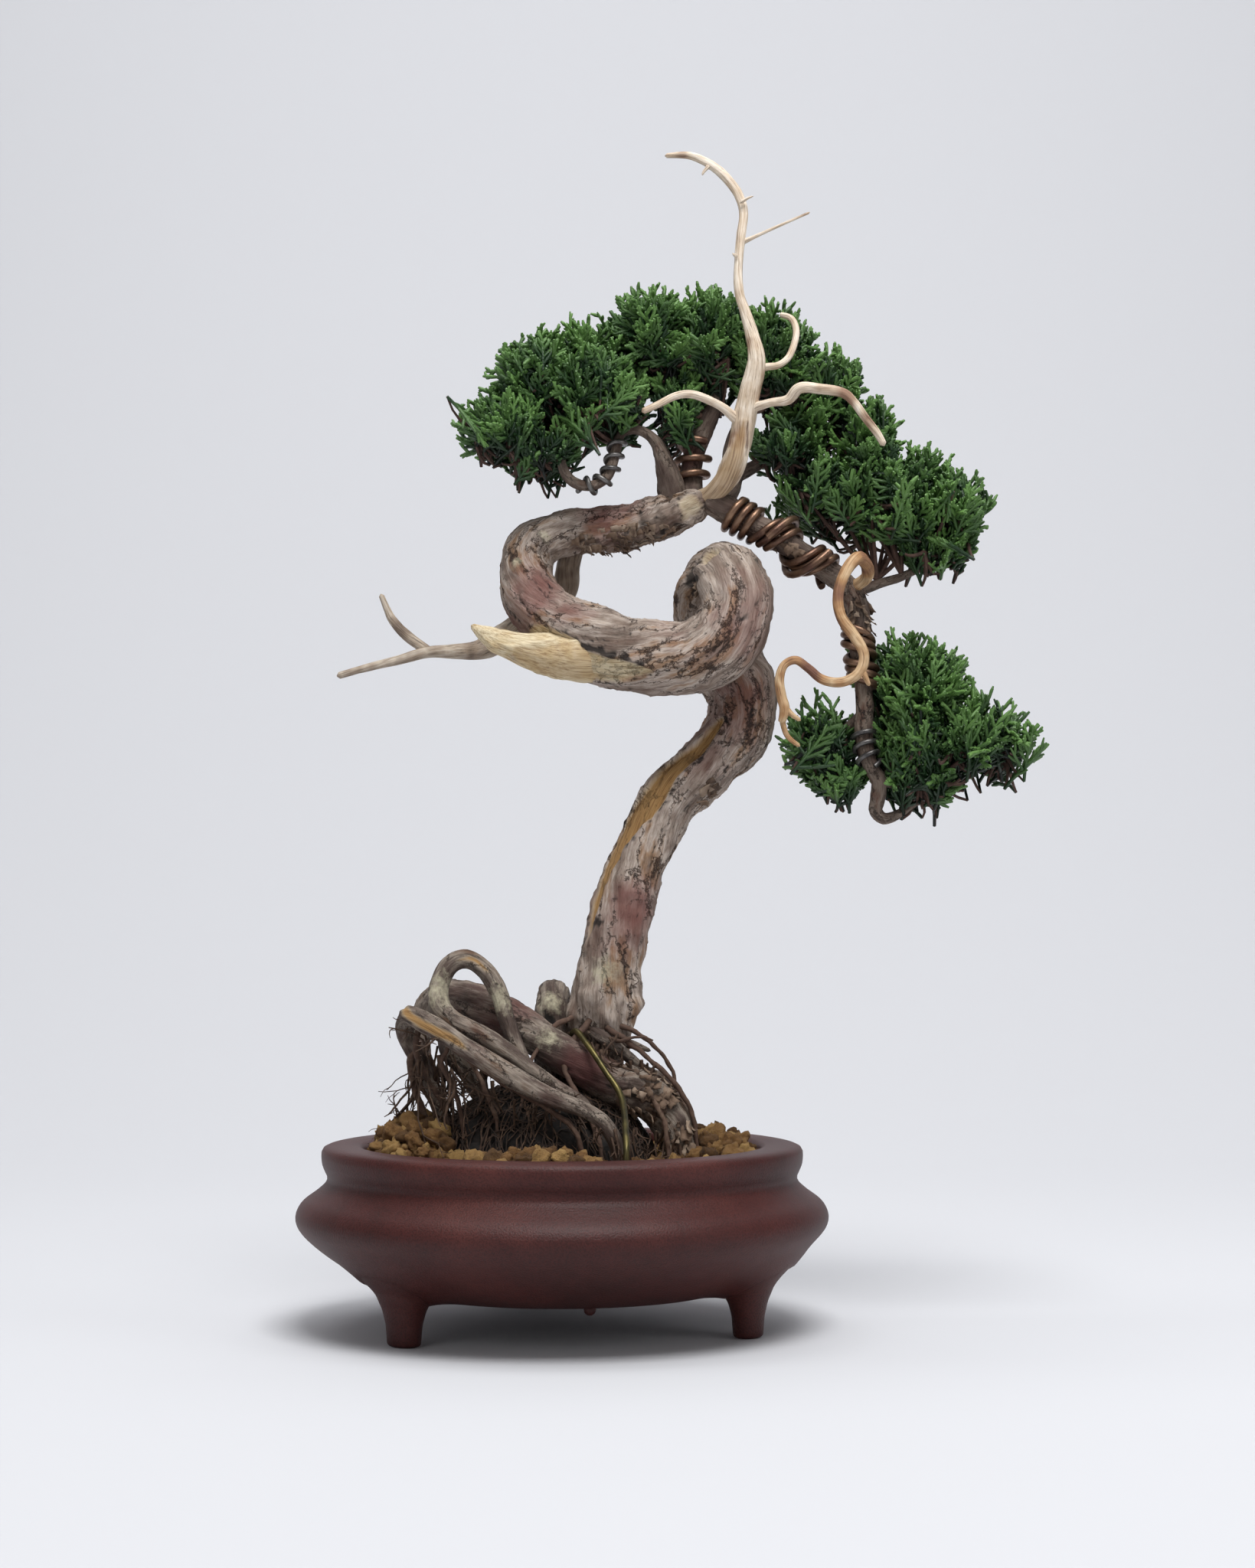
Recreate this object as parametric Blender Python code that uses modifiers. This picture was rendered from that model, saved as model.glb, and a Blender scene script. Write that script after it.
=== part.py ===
"""Juniper bonsai with a coiled trunk, wired branches and bare deadwood, in an unglazed tripod pot.

Lengths are in millimetres here and become metres where a mesh is made. X runs to the right
as the tree is seen from its front, Y runs to its back, and Z runs up from the surface that
the pot stands on, with the pot's axis at X = Y = 0 until the end, when the whole object is
moved so that the middle of its bounding box stands on the origin.
"""

import math
from dataclasses import dataclass

import bmesh
import bpy
from mathutils import Matrix, Vector

MM = 0.001
GAP = 0.3  # kept between pieces that touch

# The pot: radii are set in from the belly, and heights are taken down from the lip
POT_RADIUS = 85.0
POT_HEIGHT = 58.5
BELLY_DROP = 23.5
NECK_DROP = 9.5
RIM_DROP = 3.5
NECK_SET_IN = 11.5
RIM_SET_IN = 8.2
BASE_SET_IN = 33.0
LIP_WIDTH = 13.3
LIP_DEPTH = 8.0
POT_WALL = 5.5
POT_FLOOR = 6.5
FOOT_HEIGHT = 13.0
FOOT_RADIUS = 4.6
FOOT_SPREAD = 1.35  # how much wider a foot is along the rim than across it
FOOT_ANGLES = (220.0, 340.6, 100.0)
DRAIN_RADIUS = 9.5
POT_STEPS = 32

RIM_RADIUS = POT_RADIUS - RIM_SET_IN
NECK_RADIUS = POT_RADIUS - NECK_SET_IN
BASE_RADIUS = POT_RADIUS - BASE_SET_IN
MOUTH_RADIUS = RIM_RADIUS - LIP_WIDTH
FOOT_CIRCLE = BASE_RADIUS + 10.0
CAVITY_FLOOR = FOOT_HEIGHT + POT_FLOOR

# The drain screen and the clip that holds it down
CLIP_RADIUS = 0.5
CLIP_LEG = DRAIN_RADIUS - CLIP_RADIUS - 1.0
CLIP_TAIL = 7.0
SCREEN_CELLS = 7
SCREEN_THICKNESS = 1.0
SCREEN_PITCH = CLIP_LEG / 2.0  # puts the clip's legs in the middle of two meshes

# What fills the pot
SOIL_DROP = 6.5
GRIT_DEPTH = 8.0
SOIL_LEVEL = POT_HEIGHT - SOIL_DROP
BED_LEVEL = SOIL_LEVEL - GRIT_DEPTH
HEAP_MARGIN = 2.0

# The tree: its routes are drawn for the height and the soil level below
TREE_HEIGHT = 327.4
DRAWN_TREE_HEIGHT = 327.4
DRAWN_SOIL_LEVEL = 52.0
LIMB_GIRTH = 1.0
WIRE_RADIUS = 1.25
THIN_WIRE_RADIUS = 0.8
TIE_WIRE_RADIUS = 1.0
TREE_SCALE = TREE_HEIGHT / DRAWN_TREE_HEIGHT
WIRE_STAND_OFF = GAP + 0.2  # from a wire to the bark that it is wound on
COIL_POINTS = 8  # points in each turn of a wire

# Name: (colour, roughness, metallic)
MATERIALS = {
    "unglazed_clay": ((0.105, 0.042, 0.035), 0.62, 0.0),
    "screen_plastic": ((0.02, 0.02, 0.02), 0.6, 0.0),
    "soil": ((0.035, 0.022, 0.014), 0.95, 0.0),
    "root_fibre": ((0.016, 0.011, 0.008), 0.95, 0.0),
    "akadama_clay": ((0.33, 0.19, 0.075), 0.95, 0.0),
    "bark": ((0.16, 0.115, 0.1), 0.85, 0.0),
    "root_bark": ((0.14, 0.095, 0.08), 0.85, 0.0),
    "bleached_deadwood": ((0.62, 0.5, 0.38), 0.75, 0.0),
    "tan_deadwood": ((0.47, 0.31, 0.17), 0.75, 0.0),
    "anodised_wire": ((0.2, 0.12, 0.085), 0.35, 1.0),
    "olive_wire": ((0.2, 0.17, 0.09), 0.4, 1.0),
    "juniper_foliage": ((0.03, 0.1, 0.035), 0.8, 0.0),
}

# Routes are (x, y, z, radius), drawn for the tree's height above
TRUNK = [
    (7, 8, 66, 6.6), (8, 7, 78, 7.4), (12, 2, 96, 10.2), (14, 0, 108, 10.4),
    (18, 0, 128, 10.0), (24, 2, 148, 9.6), (34, 5, 167, 9.6), (46, 8, 179, 10.0),
    (56, 12, 190, 10.6), (59, 16, 202, 11.0), (54.5, 20.5, 213, 11.2), (48.5, 22.5, 223.5, 11.0),
    (47, 18.5, 233.5, 11.0), (49.5, 8, 239.8, 11.3), (53, -3, 240, 11.5), (55, -11, 234.5, 11.6),
    (55, -15, 226.5, 11.6), (49.5, -16.5, 217.5, 11.6), (39.5, -15.5, 213.2, 11.6), (28, -13, 213.5, 12.0),
    (16, -10, 216, 12.1), (5, -6, 221, 11.5), (-5, 0, 229.5, 9.9), (-11, 5, 238, 9.0),
    (-12.5, 9, 247, 8.7), (-8, 11, 254, 8.2), (2, 11, 257.6, 7.5), (13, 9, 258, 7.4),
    (25, 6, 259, 7.2), (35, 3, 262, 6.8), (42, 1, 264.5, 6.0), (47, 0.5, 266, 4.6),
]
SHARI_TONGUE = [
    (16, -11, 213.5, 8.8), (6, -12, 213.5, 9.2), (-8, -11.5, 215.5, 5.9),
    (-20.5, -11, 219, 4.2), (-29.3, -10, 224.3, 0.8),
]

ROOT_RAFT = [
    (-33, 2, 52, 2.3), (-37, 1, 63, 2.4), (-41, 2, 74, 2.5), (-44.7, 6, 83.6, 2.8),
    (-46.5, 10, 93, 3.3), (-45, 12, 100.5, 4.0), (-40, 9, 105.5, 4.6), (-33, 2, 105.6, 5.2),
    (-23, -4, 101.5, 6.0), (-13, -8, 96, 6.1), (-3.4, -11, 90, 6.1), (6.4, -12, 84, 6.1),
    (16, -11, 78.5, 6.6), (26, -10, 74.5, 6.9), (32.6, -10, 69.4, 6.9), (36.5, -12, 62, 6.1),
    (37.5, -13, 53, 5.4),
]
ROOT_FRONT = [
    (-35, -8, 52, 2.0), (-38, -9, 64, 2.2), (-40, -9, 74, 2.3), (-43.6, -9, 83, 2.5),
    (-47.6, -11.5, 89.5, 2.8), (-49.3, -16, 95.5, 3.1), (-47.2, -21.5, 99.6, 3.3), (-41.2, -26, 97.6, 3.4),
    (-31.5, -29, 92, 3.2), (-21.8, -32, 86, 3.2), (-12.2, -34, 80.4, 3.2), (-2.7, -35, 75.6, 3.0),
    (6, -36, 72.2, 2.6), (12.5, -37, 68.5, 2.4), (16.5, -37, 63, 2.3), (18, -36, 57, 2.0),
    (18.5, -35, 50, 1.8),
]
ROOT_ARCH = [
    (-7, -19, 64, 1.3), (-8, -20, 74, 1.4), (-10.2, -20, 83, 1.7), (-13.8, -18, 90, 2.4),
    (-17.3, -16, 99, 2.7), (-19.7, -15, 107, 2.9), (-24.2, -14, 114.1, 3.0), (-30.5, -14, 117.7, 3.0),
    (-35.8, -15, 115.5, 3.2), (-38.8, -16, 109, 3.4), (-38.2, -18, 102.8, 3.4), (-33.5, -20, 98, 3.1),
    (-24.7, -22, 94, 2.9), (-16.2, -24, 88.5, 2.6), (-7.7, -26, 82.4, 2.4), (0.7, -27, 77, 2.1),
    (7.8, -26, 72.5, 1.6), (11.5, -23, 64, 1.4),
]
ROOT_KNEE = [
    (-5, 2, 66, 4.2), (-4.4, 1, 80, 4.5), (-4, 0.5, 92, 4.8), (-4, 2.5, 101.5, 5.0),
    (-3.2, 9.5, 106.3, 4.9), (-1.5, 16, 102, 4.5), (0.5, 18.5, 92, 4.0), (1, 17, 80, 3.6),
    (1, 15, 66, 3.4),
]
ROOT_HANGING = [
    (-34.5, 3, 103.5, 2.9), (-37, 2, 95.5, 3.0), (-36.5, 1, 88, 3.2), (-33, 3, 83.4, 3.0),
    (-29.5, 6, 78, 2.6), (-25, 7, 68, 2.2), (-22, 7, 58, 2.0),
]
ROOT_BRACE = [
    (9, -3, 95, 2.6), (12, -8.6, 93.4, 2.4), (17, -8.4, 90, 2.2), (20.8, -5.5, 86.7, 2.0),
    (25.8, -2.6, 82.5, 1.8), (31, -1.6, 80, 1.6), (35, -1, 75.5, 1.5), (37.6, 0, 66, 1.5),
    (38.5, 1, 52, 1.4),
]
ROOT_SPUR = [(14, 1, 92, 2.0), (21.5, -1.5, 90.5, 1.5), (28.2, -6, 88.4, 0.6)]

JIN_APEX = [
    (46.5, -1.5, 266, 3.6), (51.5, -7.5, 270, 4.5), (55.5, -10, 277.7, 3.8), (57.3, -11, 285, 3.6),
    (58.5, -12, 292.2, 3.6), (60.1, -13, 299.5, 3.3), (61.8, -14, 306.7, 2.9), (61.8, -14, 312, 2.6),
    (60.5, -13, 318, 2.2), (58.5, -12, 325, 1.8), (56.8, -11, 331, 1.6), (56.4, -10, 338, 1.5),
    (57.2, -8.5, 349, 1.5), (58.3, -7, 358, 1.5), (57, -6, 364, 1.5), (54.4, -5, 368.5, 1.5),
    (50.5, -4, 373, 1.5), (45.8, -3, 376.4, 1.4), (40.5, -2, 378.6, 1.2), (33, 0, 379, 0.7),
]
JIN_APEX_SHOOTS = [
    [  # the left arm
        (57.5, -11.5, 288.5, 1.8), (51.5, -14, 293.6, 1.4), (45.3, -16, 296.4, 1.3),
        (40.4, -17, 297.5, 1.3), (35.5, -18, 296.5, 1.2), (30.7, -19, 293.9, 1.1), (25.3, -20, 291.3, 1.0),
    ],
    [  # the right arm
        (59, -12.5, 293.5, 1.9), (66.2, -15, 295.1, 1.4), (72, -16, 295.9, 1.7), (75.6, -18, 299.2, 1.8),
        (82, -18, 299, 1.7), (89.2, -18, 297.8, 1.6), (92.8, -18, 294.8, 1.4), (96.4, -18, 289.9, 1.3),
        (100.1, -18, 285, 1.2), (102.5, -18, 280.8, 1.0),
    ],
    [  # the curl
        (60.8, -13.8, 305.4, 1.5), (65, -13, 307, 1.2), (69, -12, 307.8, 1.1), (72.4, -10, 310.6, 1.1),
        (74.5, -8, 315.3, 1.1), (75.3, -6, 320.2, 1.1), (73.8, -4, 324.6, 1.1), (70.1, -2, 326.3, 1.0),
    ],
    [(57.3, -8, 348.4, 0.9), (62, -8.4, 350.4, 0.6), (68, -9, 353, 0.5), (79.6, -10, 357.9, 0.4)],
]
JIN_DRIFTWOOD = [
    (4, 12, 255, 3.4), (1.3, 15, 247.4, 3.8), (0, 18, 239, 4.2), (-5.6, 20, 232.6, 4.5),
    (-14.4, 18, 227, 4.5), (-22.5, 13, 221.5, 4.2), (-28.5, 9.5, 218.2, 3.2), (-36.3, 4, 217.2, 2.2),
    (-43.4, 0, 216.6, 1.8), (-53, -4, 213.7, 1.5), (-62.5, -8, 210.9, 1.3), (-72.1, -10, 208, 1.1),
]
JIN_DRIFTWOOD_SHOOTS = [
    [
        (-43, 0.2, 216.7, 1.6), (-50, 2, 221.6, 1.8), (-55.2, 4, 227, 1.5), (-57.5, 5, 231.3, 1.1),
        (-59.6, 6, 236.2, 0.9),
    ],
]
JIN_SERPENTINE = [
    (94.5, 2, 238, 2.2), (98, -4, 240.5, 2.1), (97.4, -10, 243.6, 2.0), (94.2, -15, 245.4, 2.0),
    (90.3, -18, 241, 1.9), (87.6, -19, 233.5, 1.8), (88.3, -20, 226.1, 1.8), (92.4, -20, 220, 1.8),
    (95.5, -20, 214, 1.7), (94, -20, 208.4, 1.7), (88.7, -20, 205.3, 1.6), (82.6, -20, 206, 1.5),
    (77.8, -20, 209.8, 1.4), (74, -20, 212.2, 1.4), (70.3, -20, 210.6, 1.3), (68.8, -20, 206, 1.5),
    (69.4, -20, 201, 1.6), (70.4, -20, 196.6, 1.6), (69.4, -19, 192.2, 1.1),
]
JIN_SERPENTINE_SHOOTS = [
    [(70.3, -20, 197.5, 1.2), (72.6, -20, 195, 0.9), (75.5, -20, 193, 0.6)],
    [(69.6, -19, 194, 1.0), (71.3, -18, 188.5, 0.9), (75.4, -18, 185, 0.6)],
    [(95, -20, 209, 1.2), (97.3, -20, 204, 0.6)],
]

BRANCH_CASCADE = [
    (46, 0, 266.2, 4.0), (54, -2, 262, 4.3), (61.7, -3, 257.5, 4.0), (69.1, -3, 253.5, 3.9),
    (76.6, -2, 248.7, 3.8), (84.1, 0, 243.9, 3.8), (90.5, 2, 239.7, 3.8), (94.6, 3, 233.6, 3.6),
    (95.7, 2, 226, 3.3), (95.4, 0, 218.3, 3.1), (97, 0, 209.6, 3.0), (97.5, 0, 199.7, 2.9),
    (97, -2, 189.7, 2.8), (98.4, -4, 181, 2.7), (101.6, -3, 174.7, 2.6), (101.4, -1, 169, 2.5),
    (101, 0, 165.2, 2.3), (104, 0, 162.8, 1.9), (109.8, 0, 165.2, 1.4), (116, 0, 170, 1.0),
]
BRANCH_LEFT = [
    (36.5, 3, 263, 4.2), (35, 3, 271.5, 4.2), (32.9, 3, 279, 3.2), (29.6, 3, 286, 2.1),
    (24.2, 2, 289.4, 1.7), (18.6, 0.5, 287.5, 1.6), (16.7, -2, 280.3, 1.6), (14.4, -4, 273.4, 1.6),
    (9.4, -5, 270, 1.6), (3.4, -5, 271.3, 1.6), (-0.1, -5, 276, 1.5), (-0.8, -4, 284, 1.3),
    (-3, -2, 293, 1.2),
]
BRANCH_APEX = [
    (42, 2, 264.5, 3.8), (41.6, 7, 270, 4.0), (41.7, 9, 277, 3.8), (43, 9.5, 284.5, 3.7),
    (45.6, 10, 291, 3.4), (48.6, 11, 298, 3.0), (50, 12, 308, 2.4),
]
BRANCH_BACK = [
    (47, 2, 265.8, 3.2), (53, 8.5, 269, 3.6), (55, 13.5, 276, 3.6), (55.5, 16, 284, 3.4),
    (58.5, 17, 293, 3.0), (62, 16, 302, 2.4),
]
BRANCH_BACK_RIGHT = [
    (54.5, 12.5, 274.5, 2.4), (62, 14, 279, 2.1), (69, 15.5, 282.4, 1.7), (78, 16.5, 285.5, 1.5),
    (86, 17, 290, 1.4), (90, 16, 297, 1.2),
]
TWIG_RIGHT_PAD = [
    (93, 3.5, 236, 2.0), (102, 6, 239.2, 1.7), (110.8, 6.5, 242.2, 1.5), (120.8, 6.5, 247.4, 1.3),
    (128, 6, 252.5, 1.1), (132, 6, 259, 1.0),
]
TWIG_CASCADE_UPPER = [
    (97.2, 0, 205, 1.8), (103.5, 2, 206.5, 1.6), (110, 3, 207.5, 1.4), (117, 3, 211, 1.1),
]
TWIG_CASCADE_TIP = [
    (101, -3.4, 175.5, 1.8), (108, -3.2, 173.4, 1.6), (115, -3, 174.4, 1.5), (124.2, -3, 178.6, 1.3),
    (131, -2, 184, 1.1),
]
TWIG_CASCADE_LEFT = [
    (97.4, -0.4, 197.5, 1.8), (92, 3, 192.5, 1.6), (86, 5.5, 189, 1.4), (79, 7, 187.5, 1.1),
]

# Foliage lumps are (x, y, z, half-size along x, y and z), drawn for the tree's height above
PADS = {
    "foliage_crown": [
        (30, 14, 321, 16, 25, 15), (47, 20, 319, 15, 27, 19),
        (68, 19, 315, 15, 24, 18), (37, 12, 299, 10, 15, 14),
    ],
    "foliage_left": [
        (-19, 1, 290, 15, 19, 11), (-9, 5, 307, 13, 22, 15), (6, 6, 304, 14, 25, 20), (19, 6, 300, 9, 20, 13),
    ],
    "foliage_back_right": [(85, 18, 305, 15, 21, 14), (97, 16, 292, 12, 18, 12)],
    "foliage_right": [(89, 15, 271, 20, 22, 12), (111, 13, 267, 19, 25, 18), (127, 10, 262, 12, 20, 15)],
    "foliage_cascade": [(113, 5, 205, 17, 22, 18), (133, 3, 189, 21, 19, 12), (115, 6, 186, 15, 20, 12)],
    "foliage_cascade_left": [(84, 9, 188, 13, 17, 13), (89, 7, 178, 11, 14, 7)],
}

# The anchor wire, over the root raft and down to the front of the pot's mouth
TIE_WIRE_OVER_ROOTS = [
    (1, 1.5, 68), (1, 0.5, 78), (1.3, -3, 87.5), (4, -10, 94.8), (8.5, -18.5, 90.5),
    (13.5, -24, 83.5), (19, -31, 75),
]
TIE_WIRE_MARGIN = 6.0  # from the pot's mouth to where the wire goes into the grit
TIE_WIRE_ANGLE = -69.2

ROOT_BALL_CENTRE = (-6.0, -4.0)
ROOT_BALL_HALF_SIZE = (38.0, 31.0)
ROOT_BALL_TOP = 79.0

# Heaps of grit against the pot's wall: (angle, half-width, half-length, height)
GRIT_HEAPS = [(190, 15, 24, 15), (262, 11, 26, 7), (2, 15, 27, 10), (95, 14, 30, 9)]


@dataclass(frozen=True)
class Limb:
    """A round limb along a route, with the shoots that grew from it as one piece."""

    name: str
    material: str
    route: list
    shoots: tuple = ()
    sides: int = 8
    step: float = 5.0  # between its rings
    wires_pass_first: bool = False  # where a wire on a neighbour touches it, it gives way to the wire


@dataclass(frozen=True)
class Coil:
    """A wire wound round a limb. Its winding is (distance along the limb, turns so far)."""

    name: str
    host: str
    winding: tuple
    radius: float = WIRE_RADIUS
    layer: int = 0  # 1 lies over a wire that is on the limb already


LIMBS = [
    Limb("trunk", "bark", TRUNK, (SHARI_TONGUE,), sides=10, step=9.0),
    Limb("root_raft", "root_bark", ROOT_RAFT, step=5.5),
    Limb("root_front", "root_bark", ROOT_FRONT),
    Limb("root_arch", "root_bark", ROOT_ARCH),
    Limb("root_knee", "root_bark", ROOT_KNEE),
    Limb("root_hanging", "root_bark", ROOT_HANGING, sides=6),
    Limb("root_brace", "root_bark", ROOT_BRACE, sides=6),
    Limb("root_spur", "root_bark", ROOT_SPUR, sides=6),
    Limb("branch_cascade", "bark", BRANCH_CASCADE, step=4.5),
    Limb("jin_apex", "bleached_deadwood", JIN_APEX, tuple(JIN_APEX_SHOOTS), sides=6),
    Limb("jin_driftwood", "tan_deadwood", JIN_DRIFTWOOD, tuple(JIN_DRIFTWOOD_SHOOTS), sides=6),
    Limb("jin_serpentine", "tan_deadwood", JIN_SERPENTINE, tuple(JIN_SERPENTINE_SHOOTS), sides=6, step=4.0),
    Limb("branch_left", "bark", BRANCH_LEFT, sides=6, step=4.0, wires_pass_first=True),
    Limb("branch_apex", "bark", BRANCH_APEX),
    Limb("branch_back", "bark", BRANCH_BACK, wires_pass_first=True),
    Limb("branch_back_right", "bark", BRANCH_BACK_RIGHT, sides=6),
    Limb("twig_right_pad", "bark", TWIG_RIGHT_PAD, sides=6),
    Limb("twig_cascade_upper", "bark", TWIG_CASCADE_UPPER, sides=6),
    Limb("twig_cascade_tip", "bark", TWIG_CASCADE_TIP, sides=6),
    Limb("twig_cascade_left", "bark", TWIG_CASCADE_LEFT, sides=6),
]

COILS = [
    Coil("wire_cascade_a", "branch_cascade", ((9.5, 0.0), (20.5, 2.8), (50.0, 5.4))),
    Coil("wire_cascade_b", "branch_cascade", ((24.0, 3.55), (47.0, 5.6))),
    Coil("wire_cascade_cross", "branch_cascade", ((22.0, 0.4), (43.0, -1.1)), layer=1),
    Coil("wire_lower", "branch_cascade", ((69.0, 0.0), (87.0, -4.0))),
    Coil("wire_apex", "branch_apex", ((9.0, 0.0), (25.0, 2.6))),
    Coil("wire_left_twig", "branch_left", ((38.5, 0.0), (63.0, 5.2)), radius=THIN_WIRE_RADIUS),
    Coil("wire_hook", "branch_cascade", ((103.0, 0.0), (116.0, 3.5)), radius=THIN_WIRE_RADIUS),
]


def clear_scene():
    for found in list(bpy.data.objects):
        bpy.data.objects.remove(found)


def new_collection(name):
    made = bpy.data.collections.new(name)
    bpy.context.scene.collection.children.link(made)
    return made


def make_materials():
    made = {}
    for name, (colour, roughness, metallic) in MATERIALS.items():
        material = bpy.data.materials.new(name)
        material.use_nodes = True
        shader = material.node_tree.nodes["Principled BSDF"]
        shader.inputs["Base Color"].default_value = (*colour, 1.0)
        shader.inputs["Roughness"].default_value = roughness
        shader.inputs["Metallic"].default_value = metallic
        made[name] = material
    return made


def blend(before, start, end, after, share):
    """The Catmull-Rom curve's value a share of the way from start to end."""
    return 0.5 * (
        2 * start
        + (end - before) * share
        + (2 * before - 5 * start + 4 * end - after) * share**2
        + (3 * start - before - 3 * end + after) * share**3
    )


def smooth(points, step):
    """Points about a step apart on the smooth curve through the given points."""
    padded = [points[0], *points, points[-1]]
    found = []
    for i in range(1, len(padded) - 2):
        length = math.dist(padded[i][:3], padded[i + 1][:3])
        parts = max(1, round(length / step))
        for part in range(parts):
            values = zip(*padded[i - 1 : i + 3])
            found.append(tuple(blend(*value, part / parts) for value in values))
    return [*found, tuple(points[-1])]


def interpolate(table, value):
    """The y that a table of rising (x, y) pairs gives for x = value."""
    for (x0, y0), (x1, y1) in zip(table, table[1:]):
        if value <= x1:
            return y0 + (y1 - y0) * (value - x0) / (x1 - x0)
    return table[-1][1]


def on_tree(point):
    """A drawn (x, y, z, ...) point, scaled about the middle of the soil, with any sizes after it."""
    x, y, z, *sizes = point
    height = SOIL_LEVEL + (z - DRAWN_SOIL_LEVEL) * TREE_SCALE
    return (x * TREE_SCALE, y * TREE_SCALE, height, *(size * TREE_SCALE for size in sizes))


def limb_points(route, step):
    points = smooth([on_tree(point) for point in route], step * TREE_SCALE)
    return [(x, y, z, radius * LIMB_GIRTH) for x, y, z, radius in points]


def link_mesh(name, mesh, collection):
    made = bpy.data.objects.new(name, mesh)
    collection.objects.link(made)
    return made


def finish_bmesh(name, shape, collection):
    mesh = bpy.data.meshes.new(name)
    shape.to_mesh(mesh)
    shape.free()
    return link_mesh(name, mesh, collection)


def lengthened(points, extra):
    """The tube's points, with each end moved outwards by extra."""
    ends = []
    for (x, y, z, radius), inner in ((points[0], points[1]), (points[-1], points[-2])):
        outwards = (Vector((x, y, z)) - Vector(inner[:3])).normalized() * extra
        ends.append((x + outwards.x, y + outwards.y, z + outwards.z, radius))
    return [ends[0], *points[1:-1], ends[1]]


def tube(name, points, sides, collection, grow=0.0):
    """A round bar through (x, y, z, radius) points, as a mesh, grown all over by grow."""
    curve = bpy.data.curves.new(name, "CURVE")
    curve.dimensions = "3D"
    curve.bevel_depth = MM
    curve.bevel_resolution = (sides - 4) // 2
    curve.use_fill_caps = True
    spline = curve.splines.new("POLY")
    spline.points.add(len(points) - 1)
    for point, (x, y, z, radius) in zip(spline.points, lengthened(points, grow)):
        point.co = (x * MM, y * MM, z * MM, 1.0)
        point.radius = radius + grow
    drawn = link_mesh(name + "_route", curve, collection)
    graph = bpy.context.evaluated_depsgraph_get()
    mesh = bpy.data.meshes.new_from_object(drawn.evaluated_get(graph))
    shape = bmesh.new()
    shape.from_mesh(mesh)
    bmesh.ops.remove_doubles(shape, verts=shape.verts, dist=1e-3 * MM)
    shape.to_mesh(mesh)
    shape.free()
    made = link_mesh(name, mesh, collection)
    made.matrix_world = drawn.matrix_world
    bpy.data.objects.remove(drawn)
    bpy.data.curves.remove(curve)
    return made


def turned(name, outline, collection, steps=POT_STEPS):
    """A solid of revolution about Z from a (radius, height) outline that starts and ends on the axis."""
    shape = bmesh.new()
    corners = [shape.verts.new((radius * MM, 0.0, height * MM)) for radius, height in outline]
    for first, second in zip(corners, corners[1:]):
        shape.edges.new((first, second))
    made = finish_bmesh(name, shape, collection)
    screw = made.modifiers.new("turn", "SCREW")
    screw.steps = screw.render_steps = steps
    screw.use_merge_vertices = True
    screw.merge_threshold = 1e-3 * MM
    screw.use_normal_flip = True
    return made


def ellipsoid(name, centre, half_size, collection, segments=10, rings=6):
    shape = bmesh.new()
    bmesh.ops.create_uvsphere(shape, u_segments=segments, v_segments=rings, radius=MM)
    bmesh.ops.scale(shape, vec=half_size, verts=shape.verts)
    bmesh.ops.translate(shape, vec=Vector(centre) * MM, verts=shape.verts)
    return finish_bmesh(name, shape, collection)


def block(name, size, middle, collection):
    """A rectangular block on the pot's axis, with its middle at the given height."""
    shape = bmesh.new()
    bmesh.ops.create_cube(shape, size=MM)
    bmesh.ops.scale(shape, vec=size, verts=shape.verts)
    bmesh.ops.translate(shape, vec=(0.0, 0.0, middle * MM), verts=shape.verts)
    return finish_bmesh(name, shape, collection)


def boolean(target, operation, operand):
    modifier = target.modifiers.new(f"{operation.lower()}_{operand.name}", "BOOLEAN")
    modifier.operation = operation
    modifier.solver = "EXACT"
    modifier.object = operand


def hide_in(collection):
    for helper in collection.objects:
        helper.hide_render = True
        helper.display_type = "WIRE"


def pot_outline():
    """The bowl's outside, from the middle of its base to the middle of its mouth."""
    bulge = POT_RADIUS - BASE_RADIUS
    belly = POT_HEIGHT - BELLY_DROP
    rise = belly - FOOT_HEIGHT
    neck = POT_HEIGHT - NECK_DROP
    keys = [
        (BASE_RADIUS, FOOT_HEIGHT),
        (BASE_RADIUS + 0.28 * bulge, FOOT_HEIGHT + 0.15 * rise),
        (BASE_RADIUS + 0.61 * bulge, FOOT_HEIGHT + 0.42 * rise),
        (BASE_RADIUS + 0.9 * bulge, FOOT_HEIGHT + 0.76 * rise),
        (POT_RADIUS, belly),
        (POT_RADIUS - 1.5, belly + 5.0),
        (NECK_RADIUS + 4.5, neck - 5.0),
        (NECK_RADIUS + 0.6, neck - 2.0),
        (NECK_RADIUS, neck),
        (NECK_RADIUS + 1.4, neck + 3.0),
        (RIM_RADIUS, POT_HEIGHT - RIM_DROP),
        (RIM_RADIUS - 0.5, POT_HEIGHT - 1.2),
        (RIM_RADIUS - 3.0, POT_HEIGHT),
    ]
    curve = smooth([(radius, 0.0, height) for radius, height in keys], 5.5)
    return [(0.0, FOOT_HEIGHT), *((radius, height) for radius, _, height in curve), (0.0, POT_HEIGHT)]


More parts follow.
